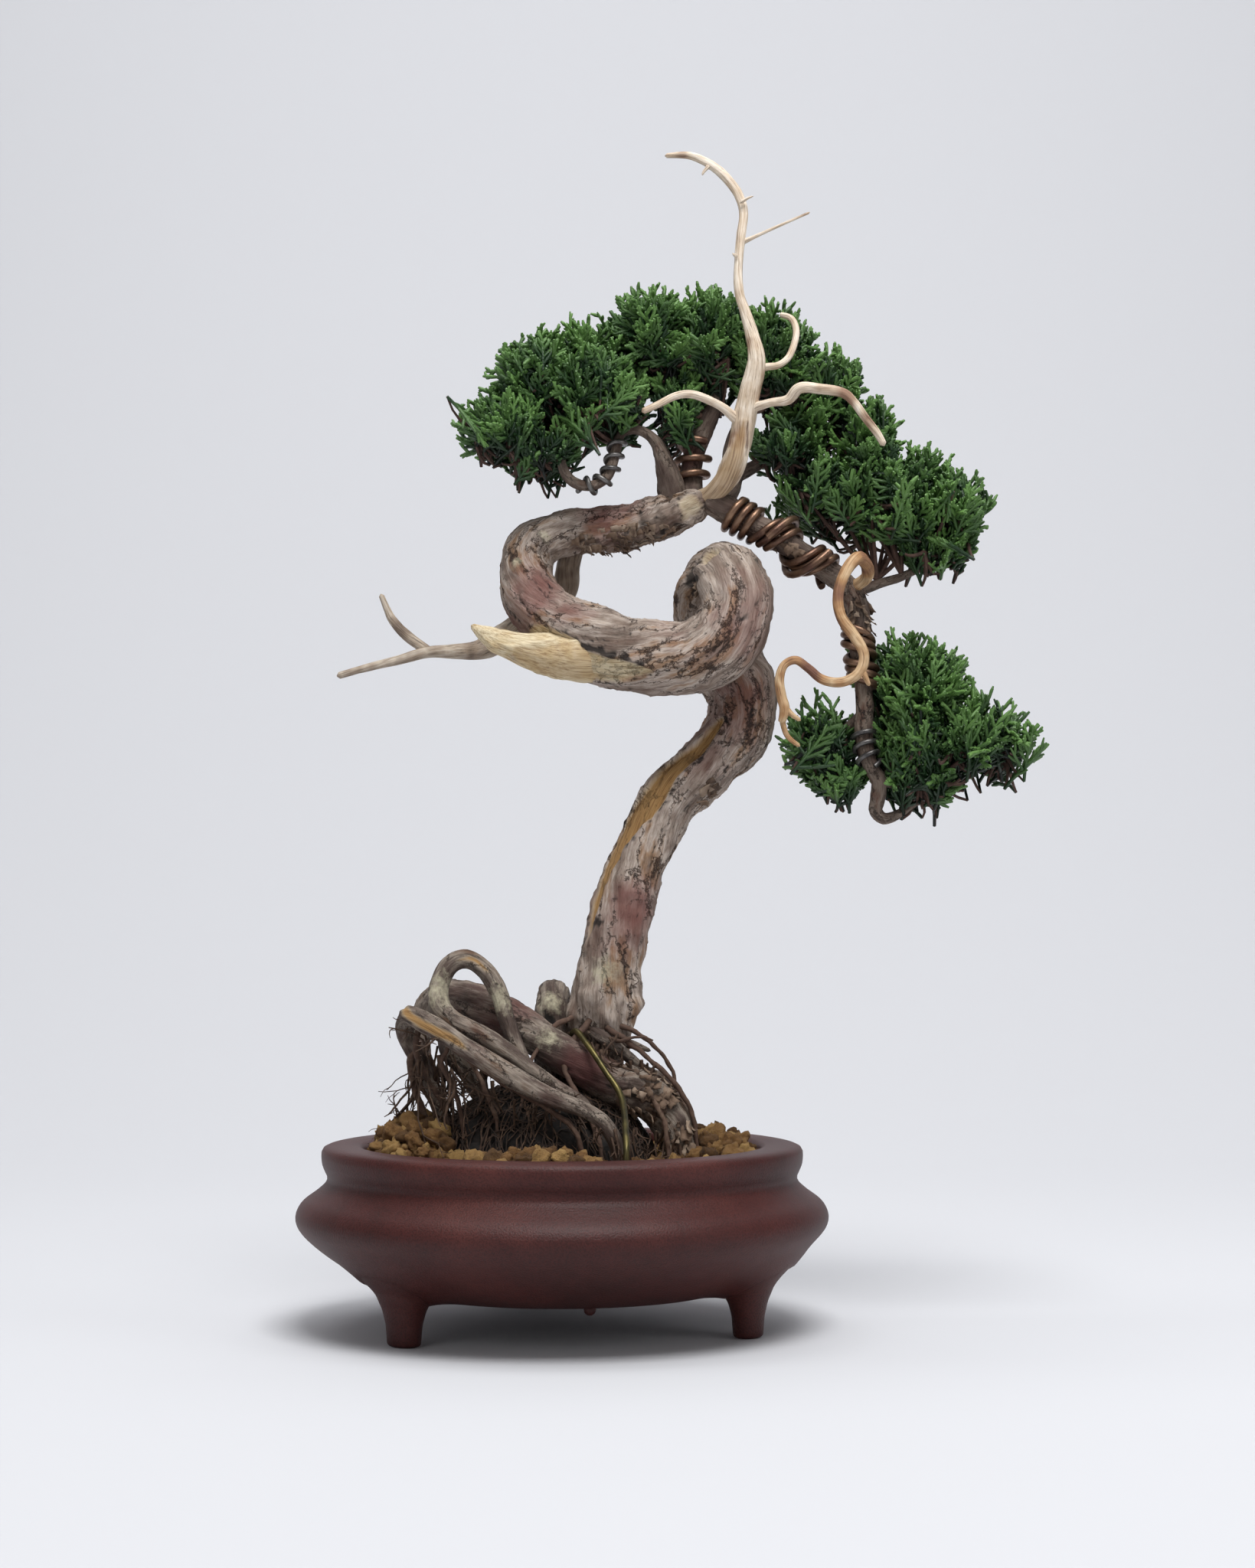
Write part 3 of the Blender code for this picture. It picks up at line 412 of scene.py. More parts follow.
def scatter_tree() -> NodeTree:
    """Scatters shapes from a collection over the faces that its density attribute allows."""
    tree, given = new_geometry_tree("shapes_over_a_surface",
        [("Shapes", "NodeSocketCollection", None), ("Spacing", "NodeSocketFloat", 0.004),
            ("Smallest", "NodeSocketFloat", 0.7), ("Largest", "NodeSocketFloat", 1.3),
            ("Tumble", "NodeSocketFloat", 1.0), ("Raise", "NodeSocketFloat", 0.0),
            ("Seed", "NodeSocketInt", 1), ("Material", "NodeSocketMaterial", None)])
    allowed = add(tree, "GeometryNodeInputNamedAttribute", {"Name": "density"}, data_type="FLOAT")
    spots = add(tree, "GeometryNodeDistributePointsOnFaces",
        {"Mesh": given.outputs["Geometry"], "Distance Min": given.outputs["Spacing"],
            "Density Max": 900000.0, "Density Factor": allowed.outputs["Attribute"],
            "Seed": given.outputs["Seed"]}, distribute_method="POISSON")
    # Lay each shape's length along the grain where the surface has one, then tumble it
    grain = add(tree, "GeometryNodeInputNamedAttribute", {"Name": "along"}, data_type="FLOAT_VECTOR")
    laid = add(tree, "FunctionNodeAxesToRotation", {0: spots.outputs["Normal"],
            1: grain.outputs["Attribute"]}, primary_axis="Z", secondary_axis="X")
    tumbled = add(tree, "FunctionNodeRandomValue", {"Min": (-3.1, -3.1, -3.1), "Max": (3.1, 3.1, 3.1),
            "Seed": given.outputs["Seed"]}, data_type="FLOAT_VECTOR")
    less = add(tree, "ShaderNodeVectorMath", {0: tumbled.outputs[0], "Scale": given.outputs["Tumble"]},
        operation="SCALE")
    turned = add(tree, "FunctionNodeRotateRotation", {"Rotation": laid.outputs[0],
            "Rotate By": less.outputs["Vector"]}, rotation_space="LOCAL")
    size = add(tree, "FunctionNodeRandomValue", {2: given.outputs["Smallest"], 3: given.outputs["Largest"],
            "Seed": given.outputs["Seed"]}, data_type="FLOAT")
    lift = add(tree, "ShaderNodeVectorMath", {0: spots.outputs["Normal"], "Scale": given.outputs["Raise"]},
        operation="SCALE")
    raised = add(tree, "GeometryNodeSetPosition", {"Geometry": spots.outputs["Points"],
            "Offset": lift.outputs["Vector"]})
    shapes = add(tree, "GeometryNodeCollectionInfo", {"Collection": given.outputs["Shapes"],
            "Separate Children": True, "Reset Children": True})
    placed = add(tree, "GeometryNodeInstanceOnPoints", {"Points": raised.outputs["Geometry"],
            "Instance": shapes.outputs["Instances"], "Pick Instance": True,
            "Rotation": turned.outputs["Rotation"], "Scale": size.outputs[1]})
    tone = add(tree, "FunctionNodeRandomValue", {2: 0.0, 3: 1.0, "Seed": 7}, data_type="FLOAT")
    toned = add(tree, "GeometryNodeStoreNamedAttribute",
        {"Geometry": placed.outputs["Instances"], "Name": "tone", "Value": tone.outputs[1]},
        data_type="FLOAT", domain="INSTANCE")
    real = add(tree, "GeometryNodeRealizeInstances", {"Geometry": toned.outputs["Geometry"]})
    dressed = add(tree, "GeometryNodeSetMaterial", {"Geometry": real.outputs["Geometry"],
            "Material": given.outputs["Material"]})
    add(tree, "NodeGroupOutput", {"Geometry": dressed.outputs["Geometry"]})
    return tree


def ride(piece: Object, slot: Slot, *nodes: str) -> Object:
    """Puts a finished piece on the part's body, in place of the CAD nodes that it stands for."""
    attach(piece, BODY)
    if nodes:
        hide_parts(*nodes)
    piece.data.calc_loop_triangles()
    log.info("%s: %d triangles", piece.name, len(piece.data.loop_triangles))
    return piece


# ---------------------------------------------------------------- finishes


def dress(shader: Node, colour: NodeSocket, bump: Node, roughness: float) -> None:
    """Gives a shader its colour, its bump and its roughness."""
    links = shader.id_data.links
    links.new(colour, shader.inputs["Base Color"])
    links.new(bump.outputs["Normal"], shader.inputs["Normal"])
    shader.inputs["Roughness"].default_value = roughness


@dataclass(frozen=True)
class StonewareClay:
    """Unglazed iron-rich stoneware, thrown and burnished: a sandy skin with a soft satin sheen."""

    name: str = "unglazed_stoneware"
    dark: str = "#381916"
    body: str = "#451e1b"
    light: str = "#522722"
    roughness: float = 0.5
    sheen: float = 0.3
    sand_mm: float = 0.55

    def made(self) -> Material:
        """Builds the material."""
        material, tree, shader = new_material(self.name)
        place = add(tree, "ShaderNodeTexCoord").outputs["Object"]
        cloud = add(tree, "ShaderNodeTexNoise", {"Vector": place, "Scale": 26.0, "Detail": 4.0,
                "Roughness": 0.6})
        colour = shade(add(tree, "ShaderNodeValToRGB", {"Fac": cloud.outputs["Fac"]}),
            [(0.3, self.dark), (0.5, self.body), (0.72, self.light)])
        sand = add(tree, "ShaderNodeTexNoise", {"Vector": place, "Scale": 1 / (self.sand_mm * MM),
                "Detail": 3.0})
        speck = shade(add(tree, "ShaderNodeValToRGB", {"Fac": sand.outputs["Fac"]}),
            [(0.36, "#8a8a8a"), (0.55, "#ffffff")])
        mixed = add(tree, "ShaderNodeMix", {"Factor": 0.5, 6: colour, 7: speck}, data_type="RGBA",
            blend_type="MULTIPLY")
        # Throwing lines run level round the bowl
        level = add(tree, "ShaderNodeMapping", {"Vector": place, "Scale": (6.0, 6.0, 420.0)})
        lines = add(tree, "ShaderNodeTexNoise", {"Vector": level.outputs["Vector"], "Scale": 1.0,
                "Detail": 2.0})
        fine = add(tree, "ShaderNodeBump", {"Height": sand.outputs["Fac"], "Strength": 0.55,
                "Distance": 0.0003})
        bump = add(tree, "ShaderNodeBump", {"Height": lines.outputs["Fac"], "Strength": 0.25,
                "Distance": 0.0005, "Normal": fine.outputs["Normal"]})
        dress(shader, mixed.outputs[2], bump, self.roughness)
        shader.inputs["Specular IOR Level"].default_value = self.sheen
        return material


@dataclass(frozen=True)
class Heartwood:
    """Wood stripped of its bark and dried in the weather: fibres run along it, split by dark checks."""

    name: str
    deep: str
    stain: str
    mid: str
    pale: str
    ochre: str = "#ad8a58"
    roughness: float = 0.72
    fibre_mm: float = 0.5

    def colour(self, tree: NodeTree) -> tuple[NodeSocket, NodeSocket]:
        """Adds the wood's colour and its grain height to a tree, and returns both."""
        grain = add(tree, "ShaderNodeAttribute", attribute_name="grain").outputs["Vector"]
        along = add(tree, "ShaderNodeMapping", {"Vector": grain, "Scale": (1.0, 1.0, 0.05)})
        fibre = add(tree, "ShaderNodeTexNoise", {"Vector": along.outputs["Vector"],
                "Scale": 1 / self.fibre_mm, "Detail": 4.0, "Roughness": 0.65})
        place = add(tree, "ShaderNodeTexCoord").outputs["Object"]
        cloud = add(tree, "ShaderNodeTexNoise", {"Vector": place, "Scale": 75.0, "Detail": 3.0})
        tint = shade(add(tree, "ShaderNodeValToRGB", {"Fac": cloud.outputs["Fac"]}),
            [(0.3, self.stain), (0.42, self.mid), (0.52, self.pale), (0.64, self.mid), (0.74, self.stain)])
        ochre = add(tree, "ShaderNodeAttribute", attribute_name="ochre").outputs["Fac"]
        warm = add(tree, "ShaderNodeMix", {"Factor": ochre, 6: tint, 7: linear(self.ochre)},
            data_type="RGBA")
        checks = shade(add(tree, "ShaderNodeValToRGB", {"Fac": fibre.outputs["Fac"]}),
            [(0.3, self.deep), (0.45, "#dfd5c8"), (0.6, "#ffffff")])
        # Relief darkens cracks, creases and hollows with painted shade, over the cracks' own dark
        relief = add(tree, "ShaderNodeAttribute", attribute_name="relief").outputs["Fac"]
        crack_and_cavity_shade = shade(add(tree, "ShaderNodeValToRGB", {"Fac": relief}),
            [(0.2, self.deep), (0.46, "#ffffff")])
        colour = warm.outputs[2]
        for factor, layer in ((0.8, checks), (0.7, crack_and_cavity_shade)):
            colour = add(tree, "ShaderNodeMix", {"Factor": factor, 6: colour, 7: layer}, data_type="RGBA",
                blend_type="MULTIPLY").outputs[2]
        return colour, fibre.outputs["Fac"]

    def made(self) -> Material:
        """Builds the material."""
        material, tree, shader = new_material(self.name)
        colour, height = self.colour(tree)
        bump = add(tree, "ShaderNodeBump", {"Height": height, "Strength": 0.7, "Distance": 0.0004})
        dress(shader, colour, bump, self.roughness)
        return material


@dataclass(frozen=True)
class JuniperBark:
    """Old juniper bark: thin stringy layers, weathered to grey over red-brown, with pale lichen crusts."""

    name: str
    crack: str = "#231712"
    brown: str = "#644a3e"
    grey: str = "#948478"
    pale: str = "#c8bbb0"
    tan: str = "#a38468"
    # On the trunk this red also paints the shadow under its loop
    red: str = "#7b4d46"
    lichen: str = "#c9c2a6"
    bare: Heartwood = Heartwood("bare_strip", "#84603a", "#bfb09a", "#d5c19a", "#e4d7b8", "#ab8654")
    fibre_mm: float = 0.6
    plate_mm: float = 6.0
    roughness: float = 0.82

    def made(self) -> Material:
        """Builds the material."""
        material, tree, shader = new_material(self.name)
        grain = add(tree, "ShaderNodeAttribute", attribute_name="grain").outputs["Vector"]
        place = add(tree, "ShaderNodeTexCoord").outputs["Object"]
        along = add(tree, "ShaderNodeMapping", {"Vector": grain, "Scale": (1.0, 1.0, 0.11)})
        fibre = add(tree, "ShaderNodeTexNoise", {"Vector": along.outputs["Vector"],
                "Scale": 1 / self.fibre_mm, "Detail": 6.0, "Roughness": 0.7})
        streak = add(tree, "ShaderNodeMapping", {"Vector": grain, "Scale": (1.0, 1.0, 0.32)})
        weather = add(tree, "ShaderNodeTexNoise", {"Vector": streak.outputs["Vector"], "Scale": 0.12,
                "Detail": 5.0, "Roughness": 0.62})
        tint = shade(add(tree, "ShaderNodeValToRGB", {"Fac": weather.outputs["Fac"]}),
            [(0.3, self.brown), (0.43, self.grey), (0.53, self.pale), (0.61, self.tan), (0.72, self.grey)])
        strings = shade(add(tree, "ShaderNodeValToRGB", {"Fac": fibre.outputs["Fac"]}),
            [(0.3, "#6b5a50"), (0.47, "#ddd6d0"), (0.62, "#ffffff")])
        # Ragged plates: a cell pattern stretched along the grain, its edges pushed about
        push = add(tree, "ShaderNodeTexNoise", {"Vector": grain, "Scale": 0.22, "Detail": 6.0,
                "Roughness": 0.75})
        centred = add(tree, "ShaderNodeVectorMath", {0: push.outputs["Color"], 1: (0.5, 0.5, 0.5)},
            operation="SUBTRACT")
        pushed = add(tree, "ShaderNodeVectorMath", {0: centred.outputs["Vector"], 1: (9.0, 9.0, 16.0),
                2: grain}, operation="MULTIPLY_ADD")
        long = add(tree, "ShaderNodeMapping", {"Vector": pushed.outputs["Vector"],
                "Scale": (1.0, 1.0, 0.24)})
        plates = add(tree, "ShaderNodeTexVoronoi", {"Vector": long.outputs["Vector"],
                "Scale": 1 / self.plate_mm}, feature="DISTANCE_TO_EDGE")
        thin = add(tree, "ShaderNodeMapRange", {0: weather.outputs["Fac"], 1: 0.43, 2: 0.68, 3: 0.003,
                4: 0.085})
        gap = add(tree, "ShaderNodeMapRange", {0: plates.outputs["Distance"], 1: 0.0, 2: thin.outputs[0],
                3: 0.0, 4: 1.0})
        lines = shade(add(tree, "ShaderNodeValToRGB", {"Fac": gap.outputs[0]}),
            [(0.0, self.crack), (0.5, "#9c8a80"), (1.0, "#ffffff")])
        colour = tint
        for factor, layer in ((0.85, lines), (0.75, strings)):
            colour = add(tree, "ShaderNodeMix", {"Factor": factor, 6: colour, 7: layer}, data_type="RGBA",
                blend_type="MULTIPLY").outputs[2]
        # Red under-bark, which also paints the shadow under the trunk's loop, and lichen show where they were
        # marked, with ragged edges
        drift = add(tree, "ShaderNodeTexNoise", {"Vector": place, "Scale": 48.0, "Detail": 3.0})
        crust = add(tree, "ShaderNodeTexNoise", {"Vector": place, "Scale": 420.0, "Detail": 4.0,
                "Roughness": 0.7})
        red_bark_and_shade = add(tree, "ShaderNodeMix", {"Factor": 0.85, 6: linear(self.red), 7: lines},
            data_type="RGBA", blend_type="MULTIPLY")
        layers = (("red", drift, 0.58, 1.0, 0.8, red_bark_and_shade.outputs[2]),
            ("lichen", crust, 0.66, 1.1, 0.9, linear(self.lichen)))
        for name, edge, low, high, most, layer in layers:
            mark = add(tree, "ShaderNodeAttribute", attribute_name=name).outputs["Fac"]
            both = add(tree, "ShaderNodeMath", {0: edge.outputs["Fac"], 1: mark}, operation="ADD")
            share = add(tree, "ShaderNodeMapRange", {0: both.outputs[0], 1: low, 2: high, 3: 0.0, 4: most})
            colour = add(tree, "ShaderNodeMix", {"Factor": share.outputs[0], 6: colour, 7: layer},
                data_type="RGBA").outputs[2]
        # Relief multiplies in painted shade where the bark is cracked, creased, hollow or under a plate's
        # edge
        relief = add(tree, "ShaderNodeAttribute", attribute_name="relief").outputs["Fac"]
        crack_and_cavity_shade = shade(add(tree, "ShaderNodeValToRGB", {"Fac": relief}),
            [(0.12, self.crack), (0.42, "#ffffff")])
        crack_and_cavity_shaded = add(tree, "ShaderNodeMix", {"Factor": 0.9, 6: colour, 7: crack_and_cavity_shade}, data_type="RGBA",
            blend_type="MULTIPLY")
        wood, wood_height = self.bare.colour(tree)
        bare = add(tree, "ShaderNodeAttribute", attribute_name="bare").outputs["Fac"]
        final = add(tree, "ShaderNodeMix", {"Factor": bare, 6: crack_and_cavity_shaded.outputs[2], 7: wood},
            data_type="RGBA")
        height = add(tree, "ShaderNodeMix", {"Factor": bare, 2: fibre.outputs["Fac"], 3: wood_height},
            data_type="FLOAT")
        bump = add(tree, "ShaderNodeBump", {"Height": gap.outputs[0], "Strength": 0.8, "Distance": 0.0008})
        for source, strength, depth in ((height.outputs[0], 0.9, 0.0007),
                (crust.outputs["Fac"], 0.4, 0.0004)):
            bump = add(tree, "ShaderNodeBump", {"Height": source, "Strength": strength, "Distance": depth,
                    "Normal": bump.outputs["Normal"]})
        dress(shader, final.outputs[2], bump, self.roughness)
        return material


@dataclass(frozen=True)
class Crumbly:
    """Bark flakes, fine roots or baked clay: each piece has a tone of its own and a dusty mottle."""

    name: str
    dark: str = "#33241d"
    mid: str = "#77614f"
    light: str = "#a3917f"
    ramp: tuple[float, float, float] = (0.15, 0.5, 0.85)
    fineness: float = 600.0
    detail: float = 4.0
    grittiness: float = 0.5
    bump: float = 0.6
    bump_mm: float = 0.4
    roughness: float = 0.85

    def made(self) -> Material:
        """Builds the material."""
        material, tree, shader = new_material(self.name)
        place = add(tree, "ShaderNodeTexCoord").outputs["Object"]
        tone = add(tree, "ShaderNodeAttribute", attribute_name="tone").outputs["Fac"]
        crumb = add(tree, "ShaderNodeTexNoise", {"Vector": place, "Scale": self.fineness,
                "Detail": self.detail, "Roughness": self.grittiness})
        both = add(tree, "ShaderNodeMath", {0: crumb.outputs["Fac"], 1: tone}, operation="ADD")
        half = add(tree, "ShaderNodeMath", {0: both.outputs[0], 1: 0.5}, operation="MULTIPLY")
        colour = shade(add(tree, "ShaderNodeValToRGB", {"Fac": half.outputs[0]}),
            list(zip(self.ramp, (self.dark, self.mid, self.light))))
        bump = add(tree, "ShaderNodeBump", {"Height": crumb.outputs["Fac"], "Strength": self.bump,
                "Distance": self.bump_mm * MM})
        dress(shader, colour, bump, self.roughness)
        return material


@dataclass(frozen=True)
class AnodisedAluminium:
    """Soft aluminium training wire, anodised: a dull metal with a coloured skin that rubs bright."""

    name: str
    skin: str
    worn: str
    roughness: float = 0.4
    metallic: float = 0.85

    def made(self) -> Material:
        """Builds the material."""
        material, tree, shader = new_material(self.name)
        place = add(tree, "ShaderNodeTexCoord").outputs["Object"]
        wear = add(tree, "ShaderNodeTexNoise", {"Vector": place, "Scale": 160.0, "Detail": 5.0,
                "Roughness": 0.6})
        colour = shade(add(tree, "ShaderNodeValToRGB", {"Fac": wear.outputs["Fac"]}),
            [(0.38, self.skin), (0.7, self.worn)])
        scuff = add(tree, "ShaderNodeTexNoise", {"Vector": place, "Scale": 900.0, "Detail": 3.0})
        bump = add(tree, "ShaderNodeBump", {"Height": scuff.outputs["Fac"], "Strength": 0.2,
                "Distance": 0.0002})
        dress(shader, colour, bump, self.roughness)
        shader.inputs["Metallic"].default_value = self.metallic
        return material


@dataclass(frozen=True)
class ScaleLeaves:
    """Juniper scale leaves pressed to their shoots: waxy green cords, knobbly at about a millimetre."""

    name: str = "juniper_scale_leaves"
    # The near-black old stop is painted shade deep inside a pad, as well as old growth
    old: str = "#060f08"
    green: str = "#1a3918"
    fresh: str = "#5f8542"
    scale_mm: float = 0.9
    roughness: float = 0.5

    def made(self) -> Material:
        """Builds the material."""
        material, tree, shader = new_material(self.name)
        place = add(tree, "ShaderNodeTexCoord").outputs["Object"]
        tone = add(tree, "ShaderNodeAttribute", attribute_name="tone").outputs["Fac"]
        drift = add(tree, "ShaderNodeTexNoise", {"Vector": place, "Scale": 60.0, "Detail": 2.0})
        scales = add(tree, "ShaderNodeTexVoronoi", {"Vector": place, "Scale": 1 / (self.scale_mm * MM),
                "Randomness": 0.8})
        shift = add(tree, "ShaderNodeMapRange", {0: drift.outputs["Fac"], 1: 0.3, 2: 0.7, 3: -0.16,
                4: 0.16})
        both = add(tree, "ShaderNodeMath", {0: tone, 1: shift.outputs[0]}, operation="ADD")
        # The tone darkens cords deep in a pad with painted shade and lightens the fresh tips
        colour = shade(add(tree, "ShaderNodeValToRGB", {"Fac": both.outputs[0]}),
            [(0.05, self.old), (0.5, self.green), (0.95, self.fresh)])
        bump = add(tree, "ShaderNodeBump", {"Height": scales.outputs["Distance"], "Strength": 0.5,
                "Distance": 0.0003}, invert=True)
        dress(shader, colour, bump, self.roughness)
        return material


@dataclass(frozen=True)
class PlainFinish:
    """A finish that hardly shows: one colour with a fine mottle."""

    name: str
    dark: str
    light: str
    grain_mm: float = 1.0
    roughness: float = 0.9

    def made(self) -> Material:
        """Builds the material."""
        material, tree, shader = new_material(self.name)
        place = add(tree, "ShaderNodeTexCoord").outputs["Object"]
        mottle = add(tree, "ShaderNodeTexNoise", {"Vector": place, "Scale": 1 / (self.grain_mm * MM),
                "Detail": 4.0})
        colour = shade(add(tree, "ShaderNodeValToRGB", {"Fac": mottle.outputs["Fac"]}),
            [(0.35, self.dark), (0.7, self.light)])
        bump = add(tree, "ShaderNodeBump", {"Height": mottle.outputs["Fac"], "Strength": 0.6,
                "Distance": 0.0006})
        dress(shader, colour, bump, self.roughness)
        return material


# ---------------------------------------------------------------- wood


@dataclass(frozen=True)
class Spot:
    """A mark at one place on a limb."""

    kind: Mark
    place: tuple[float, float, float]
    radius: float
    height: float = 0.0


def spots_of(*runs: Sequence[Any]) -> tuple[Spot, ...]:
    """Spots from runs that hold a kind and then (x, y, z, radius) or (x, y, z, radius, height) rows."""
    return tuple(Spot(kind, row[:3], *row[3:]) for kind, *rows in runs for row in rows)


@dataclass(frozen=True)
class Stripe:
    """A strip of bare wood along a limb, given as (x, y, z, half-width) on its surface."""

    line: Points
    depth: float = 0.5
    ochre: float = 1.0


@dataclass(frozen=True)
class Carving:
    """How time has carved a limb's surface, in millimetres."""

    swell: float = 0.7
    flute: float = 0.0
    ridge: float = 0.45
    ridge_width: float = 3.0
    ridge_length: float = 22.0
    crack: float = 0.5
    plate: float = 0.35
    twist: float = 0.0
    seed: int = 1


# Cells of the carving's noise, in millimetres across, across and along the grain
CRACK_CELL = np.array([7.0, 7.0, 34.0])
FLUTE_CELL = np.array([7.0, 7.0, 70.0])
LAYER_CELL = np.array([8.0, 8.0, 15.0])
STRIPE_CELL = np.array([2.0, 2.0, 9.0])
SWELL_CELL = 13.0
WARP_CELL = 4.0
WOBBLE_CELL = 3.0
FLAKE_CELL = 2.6
# A wire's ring marks are this far apart, and a limb thinner than this is carved less
RING_PITCH = 5.2
FULL_CARVING = 5.0
LEAST_GRAIN = 0.8
CAP_SHARE = 0.8
MASKS = ("red", "lichen", "bare", "ochre", "density")


@dataclass(frozen=True)
class Limb:
    """A round limb along a route of (x, y, z, radius), with the shoots that grow from it."""

    name: str
    route: Points
    carving: Carving
    shoots: Sequence[Points] = ()
    spots: Sequence[Spot] = ()
    stripes: Sequence[Stripe] = ()
    sides: int = 28
    step: float = 0.9

    def swept(self, route: Points, sides: int, seed: int) -> Shell:
        """One carved tube.

        Args:
            route: rows of x, y, z and radius.
            sides: how many steps make its ring.
            seed: which carving noise.

        Returns:
            The closed tube with its grain, its relief of painted light and shade, and its marks as
            attributes.
        """
        rows = smooth_curve(route, self.step)
        centre, radius = rows[:, :3], rows[:, 3].copy()
        forward, side, other = frames_along(centre)
        reached = np.arange(len(rows)) * (np.linalg.norm(np.diff(centre, axis=0), axis=1).mean())
        total = reached[-1]
        # Round both ends off over one radius
        for end, distance in ((0, reached), (-1, total - reached)):
            cap = max(radius[end], LEAST_GRAIN) * CAP_SHARE
            near = np.clip(distance / cap, 0.02, 1.0)
            radius = radius * np.sqrt(1 - (1 - near) ** 2)
        angle = np.arange(sides) * math.tau / sides
        mean = np.maximum(rows[:, 3], LEAST_GRAIN)[:, None]
        twisted = angle[None, :] + self.carving.twist * reached[:, None] / 100.0 * math.tau
        lengths = np.repeat(reached[:, None], sides, axis=1)
        grain = np.stack([mean * np.cos(twisted), mean * np.sin(twisted), lengths], axis=-1)
        cosine, sine = np.cos(angle)[None, :, None], np.sin(angle)[None, :, None]
        outward = cosine * side[:, None, :] + sine * other[:, None, :]
        places = centre[:, None, :] + outward * radius[:, None, None]
        flat = places.reshape(-1, 3)
        normal = outward.reshape(-1, 3)
        coordinate = grain.reshape(-1, 3)
        relief, facts = self.carve(flat, coordinate, seed)
        girth = np.repeat(np.minimum(1.0, rows[:, 3] / FULL_CARVING), sides)
        flat = flat + normal * (relief * girth)[:, None]
        facts["grain"] = coordinate
        facts["along"] = np.repeat(forward, sides, axis=0)
        places = np.vstack([flat, centre[0], centre[-1]])
        ends = {name: np.concatenate([values, values[:1], values[-1:]]) for name, values in facts.items()}
        return Shell(places, tube_faces(len(rows), sides), ends)

    def carve(self, places: np.ndarray, grain: np.ndarray, seed: int) -> tuple[np.ndarray, dict]:
        """The height of the carving at each place, and the masks that dress it, relief among them: painted
        shade in cracks, creases and hollows and painted light on ridges.
        """
        cut = self.carving
        stretched = grain / np.array([cut.ridge_width, cut.ridge_width, cut.ridge_length])
        ridges = 2 * np.abs(noise(stretched, seed))
        cracks = np.abs(noise(grain / CRACK_CELL + 9.1, seed + 3))
        split = 1 - smoothstep(0.0, 0.1, cracks)
        warp = np.column_stack([noise(places / WARP_CELL + 5.0 * k, seed + 30 + k) for k in range(3)])
        height = cut.swell * fractal(places / SWELL_CELL, 3, seed + 7)
        height += cut.flute * noise(grain / FLUTE_CELL, seed + 9)
        height += cut.ridge * (ridges - 0.5) - cut.crack * split
        # Relief is painted light on the ridges, and in the cracks their own dark with painted shade
        fine = 0.7 + 0.2 * (ridges - 0.5) - 0.28 * split
        # Bark lies in layers, each broken off along a ragged line, with a painted line of shade along each
        # broken edge
        for size, lift in ((1.0, 1.0), (0.42, 0.4)):
            layers = 2.6 * noise((grain + 2.2 * warp) / (LAYER_CELL * size) + 31.7, seed + 5)
            share = layers - np.floor(layers)
            step = np.floor(layers) * 0.5 + smoothstep(0.82, 1.0, share) * 0.5 + 0.5 * share
            height += cut.plate * lift * step
            edge = np.exp(-(((share - 0.99) / 0.12) ** 2)) + np.exp(-((share / 0.09) ** 2))
            fine -= 0.3 * edge * min(1.0, cut.plate * 2.2) * lift
        masks = {name: np.zeros(len(places)) for name in MASKS}
        wobble = noise(places / WOBBLE_CELL, seed + 11)
        for spot in self.spots:
            away = np.linalg.norm(places - np.array(spot.place), axis=1) / spot.radius + 0.15 * wobble
            core = np.exp(-(away**2) * 1.6)
            if spot.kind is Mark.SCAR:
                away = away + 0.16 * wobble
                rim = np.exp(-(((away - 0.95) / 0.22) ** 2))
                core = 1 - smoothstep(0.55, 0.85, away)
                height = height * (1 - core) + spot.height * (rim - 0.4 * core + 0.12 * core
                    * np.sin(away * 14))
                masks["bare"] = np.maximum(masks["bare"], 0.5 * core)
                # A painted line of shade lies in the crease inside the rim
                crease = np.exp(-(((away - 0.8) / 0.07) ** 2))
                fine = fine * (1 - core) + core * (0.55 + 0.1 * np.sin(away * 14)) - 0.35 * crease
            elif spot.kind is Mark.NUB:
                height += spot.height * core
            elif spot.kind is Mark.HOLLOW:
                height -= spot.height * core
                # The hollow is darkened with painted shade
                fine -= 0.8 * core
            elif spot.kind is Mark.LICHEN:
                masks["lichen"] = np.maximum(masks["lichen"], 0.45 * core)
                height += spot.height * core
            elif spot.kind is Mark.RED:
                # Red under-bark, and at the spot under the trunk's loop painted shadow
                masks["red"] = np.maximum(masks["red"], 0.5 * core)
            elif spot.kind is Mark.RINGS:
                wave = np.sin(grain[:, 2] * math.tau / RING_PITCH + 0.8 * wobble)
                height += spot.height * core * wave
                # Painted light on the ring ridges and painted shade between them
                fine += 0.2 * core * wave
            elif spot.kind is Mark.ROUGH:
                loose = (1 - smoothstep(0.7, 1.0, away)) * (wobble > -0.1)
                masks["density"] = np.maximum(masks["density"], loose)
                height += spot.height * core * (0.5 + fractal(places / FLAKE_CELL, 2, seed + 13))
                fine -= 0.12 * core
        for stripe in self.stripes:
            away, half_width = distance_to_line(places, smooth_curve(stripe.line, 2.0))
            away = away + 0.8 * noise(grain / STRIPE_CELL, seed + 17) * np.minimum(1, half_width / 3)
            inside = 1 - smoothstep(half_width - 0.5, half_width + 0.1, away)
            lip = np.exp(-(((away - half_width - 0.5) / 0.6) ** 2)) * (half_width > 0.4)
            masks["bare"] = np.maximum(masks["bare"], inside)
            masks["ochre"] = np.maximum(masks["ochre"], stripe.ochre * inside)
            height = height * (1 - 0.75 * inside) - stripe.depth * inside + 0.6 * lip
            wood = 0.78 + 0.3 * (ridges - 0.5)
